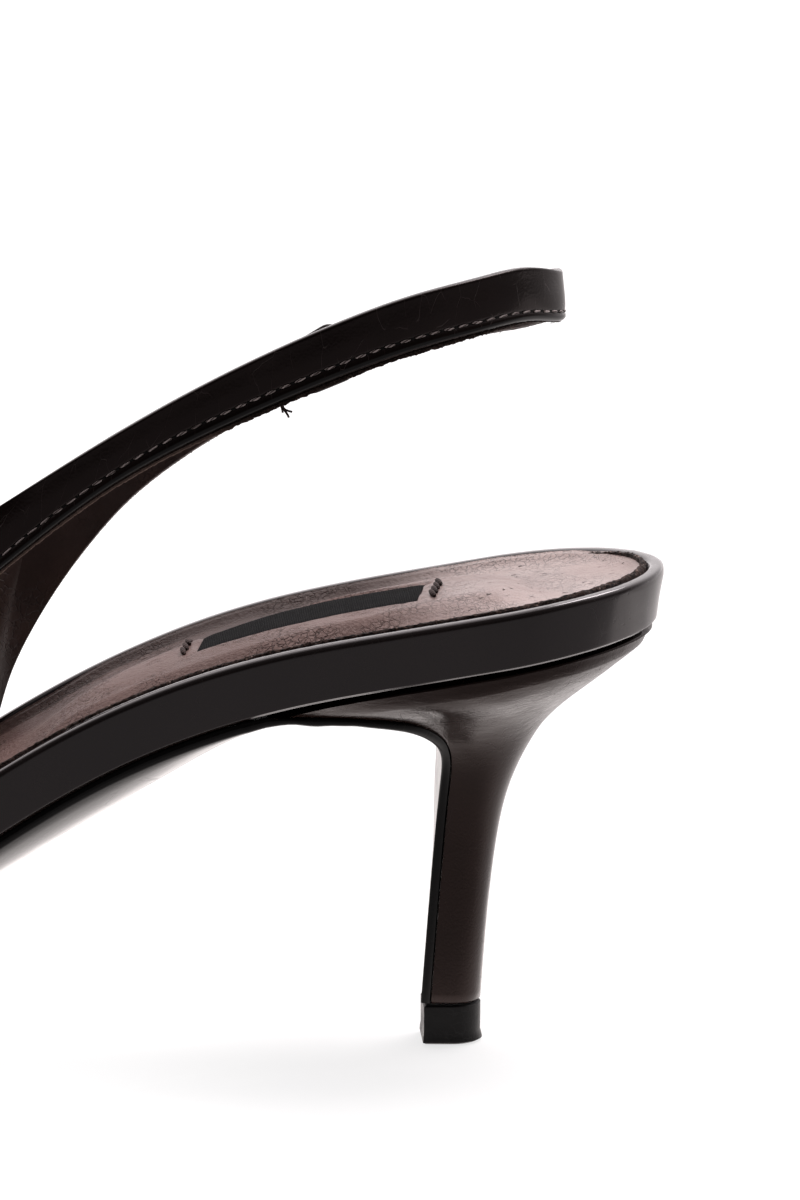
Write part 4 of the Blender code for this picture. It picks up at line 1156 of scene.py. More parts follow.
def makeOutsole():
    share = np.linspace(-1, 1, outsole["across"])
    share = np.sign(share) * np.abs(share) ** outsole["even"]
    sheet, down, walls = [], [], []
    medial, lateral = outline(rand["wall"][0][0])
    for inner, outer in zip(medial[::-1], lateral[::-1]):
        if inner[0] < heel["seat"]["front"] + outsole["lipOverlap"]:
            break
        plan = (inner + outer) / 2 + (inner - outer) / 2 * share[:, None]
        sheet.append(lifted(plan, underside(plan, 1 - np.abs(share)) - shoe["gap"]))
        slope = float(featherSlope((inner[0] + outer[0]) / 2))
        down.append(np.array((slope, 0, -1)) / math.hypot(slope, 1))
        walls.append(outsole["wall"])
    rows = finer(heel["rows"], heel["steps"])[::-1]
    breast = np.column_stack([rows[:, 2], rows[:, 5], rows[:, 0]])
    line = np.vstack([np.linspace(heelSeatRing()[0], breast[0], outsole["lipSteps"])[:-1], breast])
    ahead = np.gradient(line, axis=0)
    for i, (front, half, up) in enumerate(line):
        normal = np.array((-ahead[i, 2], 0, ahead[i, 0])) / math.hypot(ahead[i, 0], ahead[i, 2])
        row = np.column_stack([np.full(len(share), front), half * share, np.full(len(share), up)])
        if i == 0:
            row[:, 2] = underRand(row[:, :2])[:, 2]
        sheet.append(row + normal * outsole["breastGap"])
        down.append(normal)
        walls.append(outsole["breastWall"] + outsole["lipThin"] * smoothStep(front, *outsole["lipThinRun"]))
    rings = []
    edge = outsole["round"]
    for top, normal, wall in zip(sheet, down, walls):
        at = top[:, 0].mean()
        turned = (1 - smoothStep(top[0, 2], *outsole["turnUp"])) * (at < heel["seat"]["front"])
        lumps = sum(deep * bell(at - where, wide) for where, wide, deep in outsole["lumps"])
        thin = wall + lumps * (1 + share[:, None]) / 2 - outsole["turn"] * turned * (1 - share[:, None]) / 2
        side = np.zeros((len(top), 3))
        reach = max(abs(top[0, 1] - top[-1, 1]) / 2, edge * 2)
        side[0] = (top[-1] - top[0]) / (2 * reach) * edge
        side[-1] = -side[0]
        rings.append(np.concatenate([
            top + side, [top[-1] + normal * edge, top[-1] + normal * (thin[-1] - edge)],
            (top + side + normal * thin)[::-1],
            [top[0] + normal * (thin[0] - edge), top[0] + normal * edge]]))
        rings[-1][:, 2] = np.maximum(rings[-1][:, 2], 0)
    return loftPiece("outsoleSheet", rings, soleHide, capped=True, sharpAngle=50)


settle(makeOutsole(), "outsole_leather", "outsole")
print("outsole")

# upper: one wall from the toe to the back of the sling
upper = {
    "ridge": (  # feather station, top station, top out, top up, arc
        (246, 226.0, 5.6, 30.8, 90), (241.6, 221.5, 5.2, 32.6, 90), (235.5, 214.0, 4.4, 35.6, 90),
        (224, 203.0, 3.2, 39.8, 90), (208, 190.0, 1.6, 44.6, 90), (192, 176.0, 0.0, 49.6, 90)),
    "medialQuarter": (
        (181, 171.0, 9.6, 50.8, 78), (169, 161.5, 16.8, 53.8, 66), (156, 148.5, 21.4, 59.0, 52),
        (142, 133.5, 23.8, 66.4, 40), (129, 118.0, 25.4, 75.9, 32)),
    "lateralQuarter": (
        (181, 171.0, -9.6, 50.2, 78), (169, 161.5, -17.2, 51.9, 66), (155, 148.0, -22.6, 54.9, 54),
        (138, 132.0, -25.8, 59.8, 44), (120, 114.0, -27.6, 67.2, 36), (103, 97.0, -28.2, 76.4, 30)),
    "medialSling": (  # lower edge, then top edge: station, out, up
        (126.3, 22.4, 38.0, 115.5, 25.7, 77.6), (122.6, 24.6, 48.2, 112.8, 26.0, 79.6),
        (117.0, 26.2, 60.0, 109.0, 26.3, 82.2), (109.5, 27.0, 70.0, 104.0, 26.5, 85.6),
        (100.6, 27.0, 77.8, 98.0, 26.6, 89.4), (86.0, 26.4, 88.8, 85.0, 26.3, 97.3),
        (71.0, 25.6, 97.0, 70.6, 25.5, 105.2), (56.0, 24.4, 103.4, 56.0, 24.3, 111.9),
        (41.0, 21.6, 108.6, 41.0, 21.5, 117.2), (29.0, 16.6, 111.2, 29.0, 16.5, 119.6),
        (20.4, 9.8, 112.0, 20.5, 9.7, 120.2)),
    "lateralSling": (
        (100.5, -22.4, 51.0, 94.4, -28.2, 78.0), (96.5, -24.8, 58.6, 91.0, -28.1, 80.4),
        (91.0, -26.6, 66.8, 87.0, -27.9, 83.2), (84.0, -27.5, 75.4, 81.4, -27.5, 86.8),
        (76.0, -27.4, 82.8, 75.0, -27.0, 91.0), (64.0, -26.4, 90.8, 64.0, -26.2, 97.8),
        (51.0, -24.6, 97.0, 51.0, -24.5, 104.5), (38.0, -20.8, 102.2, 38.0, -20.7, 110.0),
        (27.0, -15.2, 106.2, 27.0, -15.1, 114.2), (19.8, -9.2, 108.4, 19.9, -9.1, 116.5)),
    "slingBack": (15.2, 0.0, 110.7, 15.5, 0.0, 118.5),
    "slingArc": 24, "arcSteps": 90, "fullness": 0.88, "ridgeStep": 0.1, "ridgeFade": 3, "steps": 14,
    "toeFan": 4.0, "weltShare": (0.9, 0.58), "weltRun": (4.0, 0.5),
    "fromFoot": (0, 0.12, 0.3, 0.55, 0.85, 1.2, 1.6, 2.0, 2.3, 2.5, 2.7, 2.9, 3.15, 3.5),
    "fromTop": (0, 0.06, 0.13, 0.22, 0.34, 0.6, 1.2), "between": 12,
    "freeRun": (-0.15, 0.5), "openRun": (-0.15, 0.4), "stitchUp": 2.7, "groove": 0.3, "grooveWide": 0.32,
    "curl": 0.95, "curlWide": 0.9, "roll": 0.32, "rollUp": 1.35, "rollWide": 0.75, "inkUp": 1.9,
    "topRound": 0.24, "topWide": 0.32, "crown": 0.18, "crownTall": 12,
    "inside": 0.1, "insideRound": 0.45, "insideTop": 0.6, "insideFoot": 0.5,
    "merge": 0.02, "slingFrom": 0.45,
    "buckles": (  # soft waves across the strap: place along it from the back, width, depth
        (26.0, 2.2, 0.07), (39.0, 1.8, 0.09), (47.0, 2.6, -0.06), (58.0, 2.0, 0.08), (73.0, 3.0, 0.07),
        (84.0, 2.0, -0.05), (97.0, 2.6, 0.08), (-30.0, 2.4, 0.08), (-52.0, 3.0, 0.07), (-78.0, 2.5, 0.06)),
}


def featherPoints(station, side):
    line = outline(shoe["beadWidth"] + shoe["gap"] * 2)[0 if side > 0 else 1]
    order = np.argsort(line[:, 0])
    run = np.minimum(station, shoe["length"] - shoe["beadWidth"] - shoe["gap"] * 2)
    plan = np.column_stack([run, np.interp(run, line[order, 0], line[order, 1])])
    return lifted(plan, rand["seatEdge"] + shoe["gap"])


def twoRuns(values, corner, startSlope=None, endSlope=None):
    index = np.arange(len(values))
    first = curveThrough(index[:corner + 1], values[:corner + 1])
    second = curveThrough(index[corner:], values[corner:], startSlope, endSlope)
    return lambda t: np.where(t <= corner, first(t), second(t))


def weltShare(t):
    # the rolled lower edge narrows towards the back of the strap
    start, end = upper["weltRun"]
    return between(upper["weltShare"], smoothStep(t, t[-1] - start, t[-1] - end))


def upperSide(side):
    # grid of points over one side, with the distance from the lower and the top edge
    name = "medial" if side > 0 else "lateral"
    quarter, sling = upper[name + "Quarter"], upper[name + "Sling"]
    foots = upper["ridge"] + quarter
    ribs = np.column_stack([featherPoints(np.array([r[0] for r in foots]), side), [r[1:] for r in foots]])
    ribs = np.vstack([ribs, [(*row, upper["slingArc"]) for row in sling + (upper["slingBack"],)]])
    throat = len(upper["ridge"]) - 1
    junction = throat + len(quarter)
    t = np.linspace(0, len(ribs) - 1, (len(ribs) - 1) * upper["steps"] + 1)
    columns = [twoRuns(ribs[:, k], junction, None, end) for k, end in ((0, 0), (1, None), (2, 0))]
    columns += [twoRuns(ribs[:, k], throat, end, end) for k, end in ((3, 0), (4, None), (5, 0))]
    foot = np.column_stack([c(t) for c in columns[:3]])
    foot[t <= junction] = featherPoints(foot[t <= junction, 0], side)
    # ribs fan out round the toe
    fanned = np.where(t < upper["toeFan"], t * smoothStep(t, 0, upper["toeFan"]), t)
    top = np.column_stack([c(fanned) for c in columns[3:]])
    arc = np.radians(np.minimum(curveThrough(np.arange(len(ribs)), ribs[:, 6])(t), 90))
    before, after = (np.clip(np.minimum(fanned, throat) + step * upper["ridgeStep"], 0, throat)
                     for step in (-1, 1))
    fall = (columns[5](after) - columns[5](before)) / (columns[3](before) - columns[3](after))
    fall = fall * (1 - smoothStep(t, throat, throat + upper["ridgeFade"]))
    turn = np.linspace(0, 1, upper["arcSteps"])[None] * arc[:, None]
    lean = np.maximum(np.cos(turn), 0) ** upper["fullness"]
    across = (1 - lean) / (1 - lean[:, -1:])
    rise = np.sin(turn) ** upper["fullness"] / np.sin(arc)[:, None] ** upper["fullness"]
    curve = foot[:, None] + (top - foot)[:, None] * np.stack([across, across, rise], 2)
    curve[:, :, 2] -= rise * fall[:, None] * (curve[:, :, 0] - top[:, None, 0])
    grid, fromFoot, fromTop = [], [], []
    for line, narrow in zip(curve, weltShare(t)):
        run = np.concatenate([[0], np.cumsum(np.linalg.norm(np.diff(line, axis=0), axis=1))])
        low, high = np.array(upper["fromFoot"]) * narrow, run[-1] - np.array(upper["fromTop"])[::-1]
        at = np.concatenate([low, np.linspace(low[-1], high[0], upper["between"] + 2)[1:-1], high])
        grid.append(resampled(at, run, line))
        fromFoot.append(at / narrow)
        fromTop.append(run[-1] - at)
    grid = np.array(grid)
    middle = grid[:, grid.shape[1] // 2]
    steps = np.linalg.norm(np.diff(middle, axis=0), axis=1)
    along = np.concatenate([np.cumsum(steps[::-1])[::-1], [0]]) * side
    return grid, t, np.array(fromFoot), np.array(fromTop), along, throat, junction


def edgeShape(t, fromFoot, fromTop, along, throat, junction):
    # how far each point of the outer and the inner face stands off the rib
    free = smoothStep(t - junction, *upper["freeRun"])[:, None]
    opened = smoothStep(t - throat, *upper["openRun"])[:, None]
    curl = -upper["curl"] * edgeFall(fromFoot, upper["curlWide"])
    roll = upper["roll"] * bell(fromFoot - upper["rollUp"], upper["rollWide"])
    groove = -upper["groove"] * bell(fromFoot - upper["stitchUp"], upper["grooveWide"])
    rounded = -upper["topRound"] * edgeFall(fromTop, upper["topWide"])
    tall = fromFoot + fromTop
    hump = np.sin(math.pi * fromFoot / tall)
    crown = upper["crown"] * hump ** 2 * np.minimum(1, upper["crownTall"] / tall)
    waves = sum(deep * bell(along[:, None] - at, wide) for at, wide, deep in upper["buckles"])
    welt = (curl + roll + groove) * weltShare(t)[:, None]
    outer = free * (welt + crown - waves * hump) + opened * rounded
    thin = edgeFall(fromTop, upper["insideTop"]) * opened + edgeFall(fromFoot, upper["insideFoot"]) * free
    return outer, upper["inside"] - shoe["upperWall"] + upper["insideRound"] * thin


def evenNormals(sheet, rounds=3):
    # normals weighed by area and evened out, so that thin faces at the toe do not count
    normals = {}
    for vert in sheet.verts:
        normals[vert] = sum((f.normal * f.calc_area() for f in vert.link_faces), Vector()).normalized()
    for _ in range(rounds):
        normals = {v: (n + sum((normals[e.other_vert(v)] for e in v.link_edges), Vector())).normalized()
                   for v, n in normals.items()}
    return normals


def gridNormals(grid, side):
    # they face away from the middle of the shoe
    normal = np.cross(np.gradient(grid, axis=0), np.gradient(grid, axis=1))
    normal /= np.maximum(np.linalg.norm(normal, axis=2), shoe["noArea"])[:, :, None]
    return normal * np.sign((normal[:, grid.shape[1] // 2, 1] * side).mean())


def makeUpper():
    sheet = bmesh.new()
    layers = {name: sheet.verts.layers.float.new(name) for name in ("outLift", "inLift", "along", "rise")}
    paths = {}
    for side in (1, -1):
        grid, t, fromFoot, fromTop, along, throat, junction = upperSide(side)
        outer, inner = edgeShape(t, fromFoot, fromTop, along, throat, junction)
        for i, row in enumerate(loft(sheet, grid, closed=False)):
            for j, vert in enumerate(row):
                vert[layers["outLift"]], vert[layers["inLift"]] = outer[i, j], inner[i, j]
                vert[layers["along"]], vert[layers["rise"]] = along[i], fromFoot[i, j]
        keep = t >= junction + upper["slingFrom"]
        faces = {"grid": grid, "normals": gridNormals(grid, side), "outer": outer, "inner": inner}
        paths[side] = {name: values[keep] for name, values in faces.items()}
    bmesh.ops.remove_doubles(sheet, verts=sheet.verts, dist=upper["merge"])
    bmesh.ops.recalc_face_normals(sheet, faces=sheet.faces)
    sheet.normal_update()
    if sum(v.normal.y * v.co.y for v in sheet.verts) < 0:
        bmesh.ops.reverse_faces(sheet, faces=sheet.faces)
        sheet.normal_update()
    sheet.verts.index_update()
    build = bmesh.new()
    space = build.verts.layers.float_vector.new("strapSpace")
    made = {}
    normals = evenNormals(sheet)
    for which in ("outLift", "inLift"):
        for vert in sheet.verts:
            copy = build.verts.new(vert.co + normals[vert] * vert[layers[which]])
            copy[space] = (vert[layers["along"]], vert[layers["rise"]], 0.0)
            made[which, vert.index] = copy
    for which, finish, step in (("outLift", 0, 1), ("inLift", 1, -1)):
        for face in sheet.faces:
            corners = [made[which, v.index] for v in face.verts]
            build.faces.new(corners[::step]).material_index = finish
    for edge in sheet.edges:
        if edge.is_boundary:
            a, b = (v.index for v in edge.verts)
            corners = made["outLift", a], made["outLift", b], made["inLift", b], made["inLift", a]
            build.faces.new(corners).material_index = 2
    sheet.free()
    for face in build.faces:  # the rolled lower edge is inked black too
        if face.material_index == 0 and all(v[space][1] < upper["inkUp"] for v in face.verts):
            face.material_index = 2
    return meshPiece("upperShell", build, [polishedHide, liningHide, inkedEdge]), paths


upperPiece, slingPaths = makeUpper()
settle(upperPiece, "upper_leather", "upper")
print("upper")


def slingPath(columnAt, lift, inside=False):
    # one line round the whole sling at a column of its grid, from the inner side to the outer side
    sides = []
    for side in (1, -1):
        path = slingPaths[side]
        offs = path["inner"] if inside else path["outer"]
        points = path["grid"][:, columnAt] + path["normals"][:, columnAt] * (offs[:, columnAt, None] + lift)
        sides.append((points, path["normals"][:, columnAt]))
    points = np.concatenate([sides[0][0], sides[1][0][-2::-1]])
    normals = np.concatenate([sides[0][1], sides[1][1][-2::-1]])
    return points, normals


seam = {
    "Pitch": 0.0024, "Length": 0.0019, "Thickness": 0.00044, "Slant": -0.02, "Lift": 0.00012, "Hole": 0.00082,
    "Seed": 3, "Thread": seamThread, "Dark": stitchHoleShade,
}
stitchColumn = upper["fromFoot"].index(upper["stitchUp"])
settle(growOnPaths("slingStitches", stitchTree, [slingPath(stitchColumn, 0.0)], seam), "upper_leather")
print("stitches")

# raw lining edge that shows under the rolled edge of the strap
rawLining = {
    "thick": 0.7, "inside": 0.35, "aboveColumn": 3, "finer": 5, "least": 0.14, "most": 0.6, "shortest": 0.1,
    "heelRun": (16.0, 32.0), "frontRun": (66.0, 80.0), "frontLess": 0.3, "endRun": (100.0, 120.0),
    "endFade": 20,
    "ripples": (  # share, points to a value, seed
        (0.15, 9, 51), (0.2, 2.2, 52), (0.06, 1.0, 53), (0.15, 3, 54)),
    "up": 0.6, "outerDrop": 0.6, "innerDrop": (0.85, 0.5), "tipIn": 0.15, "fray": 0.12, "frayTurn": 1.7,
    "fibreAt": 0.8, "fibreStep": slice(60, -60, 3),
}
looseFibre = {
    "Pitch": 0.0011, "Shortest": 0.0004, "Longest": 0.0013, "Thickness": 0.00009, "Spread": 1.0, "Seed": 8,
    "Fibre": rawFibre,
}


def makeRawLining():
    low, normals = slingPath(0, rawLining["inside"], inside=True)
    above, _ = slingPath(rawLining["aboveColumn"], rawLining["inside"], inside=True)
    index = np.arange(len(low))
    count = len(low) * rawLining["finer"]
    at = np.linspace(0, index[-1], count)
    low, above, normals = (resampled(at, index, line) for line in (low, above, normals))
    down = unit(low - above)
    station = low[:, 0]
    longer = smoothStep(station, *rawLining["heelRun"]) * (low[:, 1] > 0)
    longer *= 1 - rawLining["frontLess"] * smoothStep(station, *rawLining["frontRun"])
    longer *= 1 - smoothStep(station, *rawLining["endRun"])
    ripples = [share * ripple(count, every, seed) for share, every, seed in rawLining["ripples"]]
    hang = between((rawLining["least"], rawLining["most"]), longer)
    hang = hang * (1 + ripples[0] + ripples[1]) + ripples[2]
    ends = smoothStep(at, 0, rawLining["endFade"]) * smoothStep(index[-1] - at, 0, rawLining["endFade"])
    hang = np.maximum(hang, rawLining["shortest"]) * ends
    thick = rawLining["thick"] * (1 + ripples[3])
    lowest, midway = rawLining["innerDrop"]
    rings = []
    for i in range(count):
        half, up, drop = normals[i] * thick[i] * 0.5, down[i] * rawLining["up"], down[i] * hang[i]
        inner, outer = low[i] - half, low[i] + half
        fray = rawLining["fray"] * math.sin(i * rawLining["frayTurn"])
        rings.append([
            inner - up, outer - up, outer + drop * rawLining["outerDrop"],
            outer + drop - normals[i] * (rawLining["tipIn"] + fray * 0.5),
            inner + drop * (lowest + fray), inner + drop * midway])
    return loftPiece("liningRawEdge", rings, rawEdge, capped=True, sharpAngle=35), low, down, hang


rawPiece, rawLow, rawDown, rawHang = makeRawLining()
settle(rawPiece, "upper_leather")
rawTips = rawLow + rawDown * rawHang[:, None] * rawLining["fibreAt"]
fibrePath = rawTips[rawLining["fibreStep"]], -rawDown[rawLining["fibreStep"]]
settle(growOnPaths("liningFibres", fibreTree, [fibrePath], looseFibre), "upper_leather")
print("raw lining edge")

# short cut thread ends under the strap, each along a few points from their root
tuft = {
    "station": 58.8, "down": 0.3, "thick": 0.34, "round": 2, "finer": 5,
    "rows": (
        ((0.2, 0.0, 0.3), (-0.2, 0.1, -0.5), (-0.8, 0.2, -0.9), (-1.5, 0.2, -1.1)),
        ((0.0, 0.1, 0.3), (-0.3, 0.3, -0.7), (-0.7, 0.4, -1.3), (-1.0, 0.3, -1.9)),
        ((0.3, 0.1, 0.2), (0.0, 0.2, -0.6), (-0.1, 0.2, -1.2)),
    ),
}


def makeTuft(name):
    away = np.where(rawLow[:, 1] < 0, np.inf, np.abs(rawLow[:, 0] - tuft["station"]))
    at = int(np.argmin(away))
    root = rawLow[at] + rawDown[at] * tuft["down"]
    curve = bpy.data.curves.new(name, "CURVE")
    curve.dimensions = "3D"
    curve.bevel_depth = tuft["thick"] / 2 * mm
    curve.bevel_resolution = tuft["round"]
    curve.use_fill_caps = True
    for row in tuft["rows"]:
        line = curve.splines.new("POLY")
        fine = finer(root + row, tuft["finer"])
        line.points.add(len(fine) - 1)
        for point, place in zip(line.points, placePoints(fine)):
            point.co = (*place, 1)
    mesh = plainMesh(name, newObject(name + "Guide", curve))
    mesh.shade_smooth()
    mesh.materials.append(rawFibre)
    return newObject(name, mesh)


settle(makeTuft("looseThread"), "upper_leather")


# buckle on the outer side, with the free end of the strap
buckle = {
    "station": 51.0, "length": 8.6, "height": 7.9, "wire": 1.05, "rise": 0.1, "tilt": 0.15, "corner": 2.0,
    "cornerSteps": 9, "sides": 14, "prongWire": 1.0, "prongSteps": 4, "prongTaper": (1.0, 0.82),
    "prongTip": (0.8, 0.35),
    "prong": (  # place along the strap, share of the height over the bar
        (-0.8, 0.52), (-1.6, 0.7), (-2.6, 0.86), (-4.0, 0.97), (-5.2, 1.0)),
}
tail = {
    "back": 51.8, "front": 74.0, "half": 3.1, "point": 4.0, "wall": 1.3, "hump": 3.0, "humpAhead": (8.0, 8.4),
    "gaps": 1.5, "tipGap": 0.02, "tipLeast": 0.01, "steps": 40, "across": 17, "sideThin": 0.35,
    "spaceFrom": 200, "spaceStep": 0.4,
    "stitched": slice(12, -4), "stitchIn": 0.9, "stitchLeast": 0.2, "stitchSink": 0.1,
}
slingTable = np.array(upper["lateralSling"])
slingTable = slingTable[np.argsort(slingTable[:, 0])]
slingLines = [curveThrough(slingTable[:, 0], slingTable[:, k]) for k in range(6)]


def slingFrame(station):
    # middle of the outer strap, then the ways forward, up and out of it
    def edges(at):
        values = np.array([float(line(at)) for line in slingLines])
        return values[:3], values[3:]

    low, top = edges(station)
    ahead, behind = sum(edges(station + 1)) / 2, sum(edges(station - 1)) / 2
    forward = Vector(ahead - behind).normalized()
    up = Vector(top - low)
    up = (up - forward * up.dot(forward)).normalized()
    outward = up.cross(forward)
    outward = -outward if outward.y > 0 else outward
    return [np.array(v) for v in (Vector((low + top) / 2), forward, up, outward)]


def wirePiece(name, points, closed, radii):
    # round wire along points with its own radius at each
    points = np.array(points)
    if closed:
        ahead = unit(np.roll(points, -1, axis=0) - np.roll(points, 1, axis=0))
    else:
        ahead = unit(np.gradient(points, axis=0))
    first = unit(np.cross(ahead, slingFrame(buckle["station"])[3]))
    second = np.cross(ahead, first)
    turns = np.linspace(0, 2 * math.pi, buckle["sides"], endpoint=False)
    rings = [p + r * (f * np.cos(turns)[:, None] + s * np.sin(turns)[:, None])
             for p, r, f, s in zip(points, radii, first, second)]
    return loftPiece(name, rings + rings[:1] if closed else rings, platedWire, capped=not closed)


def makeBuckle():
    middle, forward, up, outward = slingFrame(buckle["station"])
    radius, corner = buckle["wire"] / 2, buckle["corner"]
    level = shoe["gap"] + radius
    frameLine = []
    for quarter, (signX, signY) in enumerate(((1, 1), (-1, 1), (-1, -1), (1, -1))):
        for turn in np.linspace(0, math.pi / 2, buckle["cornerSteps"]):
            angle = turn + quarter * math.pi / 2
            x = (buckle["length"] / 2 - corner) * signX + corner * math.cos(angle)
            y = (buckle["height"] / 2 - corner) * signY + corner * math.sin(angle)
            # the upper bar leans, the lower one lies straight
            lean = buckle["tilt"] * x * (y / buckle["height"] + 0.5)
            frameLine.append(middle + forward * x + up * (y + buckle["rise"] - lean) + outward * level)
    framePiece = wirePiece("buckleFrame", frameLine, True, np.full(len(frameLine), radius))
    overBar = shoe["gap"] * 2 + buckle["wire"] + buckle["prongWire"] / 2
    prongRows = finer(buckle["prong"], buckle["prongSteps"])
    prongLine = [middle + forward * x + outward * overBar * rise for x, rise in prongRows]
    radii = buckle["prongWire"] / 2 * np.linspace(*buckle["prongTaper"], len(prongLine))
    radii[-2:] *= buckle["prongTip"]
    return framePiece, wirePiece("buckleProng", prongLine, False, radii)


framePiece, prongPiece = makeBuckle()
settle(framePiece, "buckle_metal", "buckle_frame")
settle(prongPiece, "buckle_metal", "buckle_prong")


def makeTail():
    bar = buckle["station"] + buckle["length"] / 2
    lift = buckle["wire"] + shoe["gap"]
    across = np.sin(np.linspace(-math.pi / 2, math.pi / 2, tail["across"]))
    crown = tail["wall"] * (1 - tail["sideThin"] * np.abs(across) ** 5)
    rings, line = [], []
    stations = np.concatenate([
        np.linspace(tail["back"], bar + tail["humpAhead"][0], tail["steps"]),
        np.linspace(bar + tail["humpAhead"][1], tail["front"] - tail["tipGap"], tail["steps"])])
    for station in stations:
        middle, _, up, outward = slingFrame(station)
        taper = np.clip((tail["front"] - station) / tail["point"], tail["tipLeast"], 1)
        half = tail["half"] * math.sqrt(taper)
        over = shoe["gap"] * tail["gaps"] + lift * math.exp(-((station - bar) / tail["hump"]) ** 4)
        face = [middle + up * half * a + outward * (over + c) for a, c in zip(across, crown)]
        back = [middle + up * half * a + outward * over for a in across[::-1]]
        rings.append(face + back)
        line.append((middle, outward, up, half, over + tail["wall"]))
    build = bmesh.new()
    space = build.verts.layers.float_vector.new("strapSpace")
    for station, row in zip(stations, loft(build, rings, capped=True)):
        for k, vert in enumerate(row):
            vert[space] = (station + tail["spaceFrom"], k * tail["spaceStep"], 0)
    return meshPiece("strapTail", build, [polishedHide], sharpAngle=50), line


tailPiece, tailLine = makeTail()
settle(tailPiece, "upper_leather", "strap_tail")


def makeTailStitches():
    rows = tailLine[tail["stitched"]]
    outs = np.array([outward for _, outward, _, _, _ in rows])
    paths = []
    for sign in (1, -1):
        points = []
        for middle, outward, up, half, over in rows:
            aside = up * max(half - tail["stitchIn"], tail["stitchLeast"]) * sign
            points.append(middle + aside + outward * (over - tail["stitchSink"]))
        paths.append((np.array(points), outs))
    return growOnPaths("tailStitches", stitchTree, paths, seam)


settle(makeTailStitches(), "upper_leather")
print("buckle and strap end")


# stage: pale floor sheet, soft light from above and behind, dark room in front
floorSheet = {
    "sideways": 1.6, "back": -2.2, "front": 0.3, "under": -0.0002, "cells": 24, "fade": (0.0, 0.16),
    "tone": (0.25, 0.25, 0.25), "mottle": 90.0, "mottleTone": 0.99, "roughness": 0.85, "specular": 0.1,
    # painted light: the sheet's own glow, and the warm glow it sheds on the shoe
    "glow": (0.72, 0.9), "glowRun": (-0.075, -0.02),
    "bounceTone": (1.0, 0.93, 0.905), "bounce": (1.75, 0.5), "bounceFront": (0.005, 0.055),
    "bounceBack": (-0.16, -0.06, 0.5, 1.0), "bounceHeel": (-0.17, -0.1, 0.45, 1.0),
}
studio = {  # strength of each light, and its run over the direction it comes from
    "overhead": 1.6, "overRun": (0.2, 0.85), "behind": (0.0, 0.5, 1.0, 0.05),
    "rear": 1.25, "rearRun": (-0.6, 0.05), "rearSide": (-0.9, -0.2, 0.6, 1.0),
    "heelSide": 0.08, "heelRun": (-0.9, -0.3),
    "ambient": 0.37, "ambientRun": (-0.06, 0.12), "ambientLeast": 0.12,
    "strip": 15.0, "stripWay": (-0.32, -0.33, 0.888), "stripEdge": (0.962, 0.985),
    "domeTone": (1.0, 0.94, 0.95), "backdrop": 1.0,
}
camera = {
    "station": 112.0, "out": 1400.0, "up": 328.0, "aim": (40.0, 0.0, 68.0), "lens": 282.3, "sensor": 36.0,
    "clip": (0.05, 50.0),
}


def makeFloor():
    build = bmesh.new()
    bmesh.ops.create_grid(build, x_segments=floorSheet["cells"], y_segments=floorSheet["cells"], size=0.5)
    deep = floorSheet["front"] - floorSheet["back"]
    for vert in build.verts:
        x, y, _ = vert.co
        vert.co = (x * 2 * floorSheet["sideways"], floorSheet["back"] + (y + 0.5) * deep, floorSheet["under"])
    mesh = bpy.data.meshes.new("floorSheet")
    build.to_mesh(mesh)
    build.free()
    material, tree, shader, place = startFinish("floorPaper", floorSheet)
    shade = tuple(c * floorSheet["mottleTone"] for c in floorSheet["tone"])
    tone = mixTones(tree, noise(tree, place, floorSheet["mottle"], 3.0)[0], floorSheet["tone"], shade)
    # painted light: the sheet glows as if lit from below, brightest away from the heel, sheds a separate warm
    # glow onto the shoe, and is faded out in front
    split = put(tree, "ShaderNodeSeparateXYZ", {0: place}).outputs
    glow = spread(tree, split["X"], *floorSheet["glowRun"], *floorSheet["glow"])
    under = spread(tree, split["Y"], *floorSheet["bounceFront"], *floorSheet["bounce"])
    under = times(tree, under, spread(tree, split["Y"], *floorSheet["bounceBack"]))
    under = times(tree, under, spread(tree, split["X"], *floorSheet["bounceHeel"]))
    bounce = vectors(tree, "SCALE", {0: floorSheet["bounceTone"], "Scale": under})
    seen = put(tree, "ShaderNodeLightPath").outputs["Is Camera Ray"]
    feed(tree, shader, {
        "Base Color": tone, "Emission Color": mixTones(tree, seen, bounce, glow), "Emission Strength": 1.0,
        "Alpha": spread(tree, split["Y"], *floorSheet["fade"], 1.0, 0.0)})
    mesh.materials.append(material)
    floor = newObject("floorSheet", mesh)


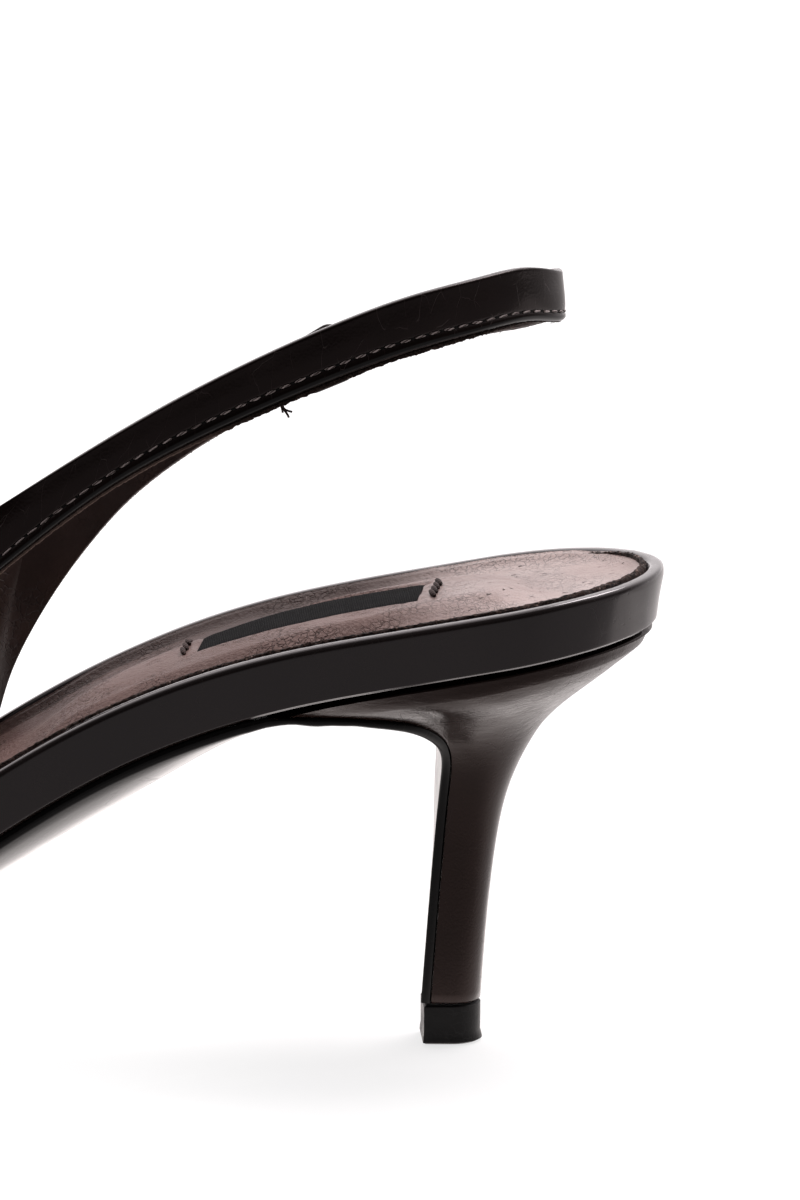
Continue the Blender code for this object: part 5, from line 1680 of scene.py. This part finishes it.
def makeLight():
    world = bpy.data.worlds.new("studio")
    bpy.context.scene.world = world
    world.use_nodes = True
    tree = world.node_tree
    tree.nodes.clear()
    way = put(tree, "ShaderNodeTexCoord").outputs["Generated"]
    split = put(tree, "ShaderNodeSeparateXYZ", {0: way}).outputs
    overhead = times(tree, spread(tree, split["Z"], *studio["overRun"], 0.0, studio["overhead"]),
                     spread(tree, split["Y"], *studio["behind"]))
    rear = times(tree, spread(tree, split["Y"], *studio["rearRun"], studio["rear"], 0.0),
                 spread(tree, split["X"], *studio["rearSide"]))
    heelSide = times(tree, spread(tree, split["X"], *studio["heelRun"], 1.0, 0.0), studio["heelSide"])
    low = spread(tree, split["Z"], *studio["ambientRun"], studio["ambient"],
                 studio["ambient"] * studio["ambientLeast"])
    facing = put(tree, "ShaderNodeVectorMath", {0: way, 1: studio["stripWay"]}, operation="DOT_PRODUCT")
    strip = spread(tree, facing.outputs["Value"], *studio["stripEdge"], 0.0, 1.0)
    strip = times(tree, strip, studio["strip"])
    total = overhead
    for light in (rear, heelSide, low, strip):
        total = sums(tree, "ADD", total, light)
    dome, backdrop = (
        put(tree, "ShaderNodeBackground", {"Color": (*tone, 1), "Strength": strength}).outputs[0]
        for tone, strength in ((studio["domeTone"], total), ((1, 1, 1), studio["backdrop"])))
    seen = put(tree, "ShaderNodeLightPath").outputs["Is Camera Ray"]
    mixed = put(tree, "ShaderNodeMixShader", {0: seen, 1: dome, 2: backdrop}).outputs[0]
    put(tree, "ShaderNodeOutputWorld", {"Surface": mixed})


def makeCamera():
    data = bpy.data.cameras.new("photoCamera")
    data.lens, data.sensor_width, data.sensor_fit = camera["lens"], camera["sensor"], "AUTO"
    data.clip_start, data.clip_end = camera["clip"]
    cam = newObject("photoCamera", data)
    cam.location = Vector(placePoints((camera["station"], camera["out"], camera["up"])))
    aim = Vector(placePoints(camera["aim"]))
    cam.rotation_euler = (aim - cam.location).to_track_quat("-Z", "Y").to_euler()
    bpy.context.scene.camera = cam


makeFloor()
makeLight()
makeCamera()
bpy.context.scene.view_settings.view_transform = "Standard"
print("stage, light and camera")
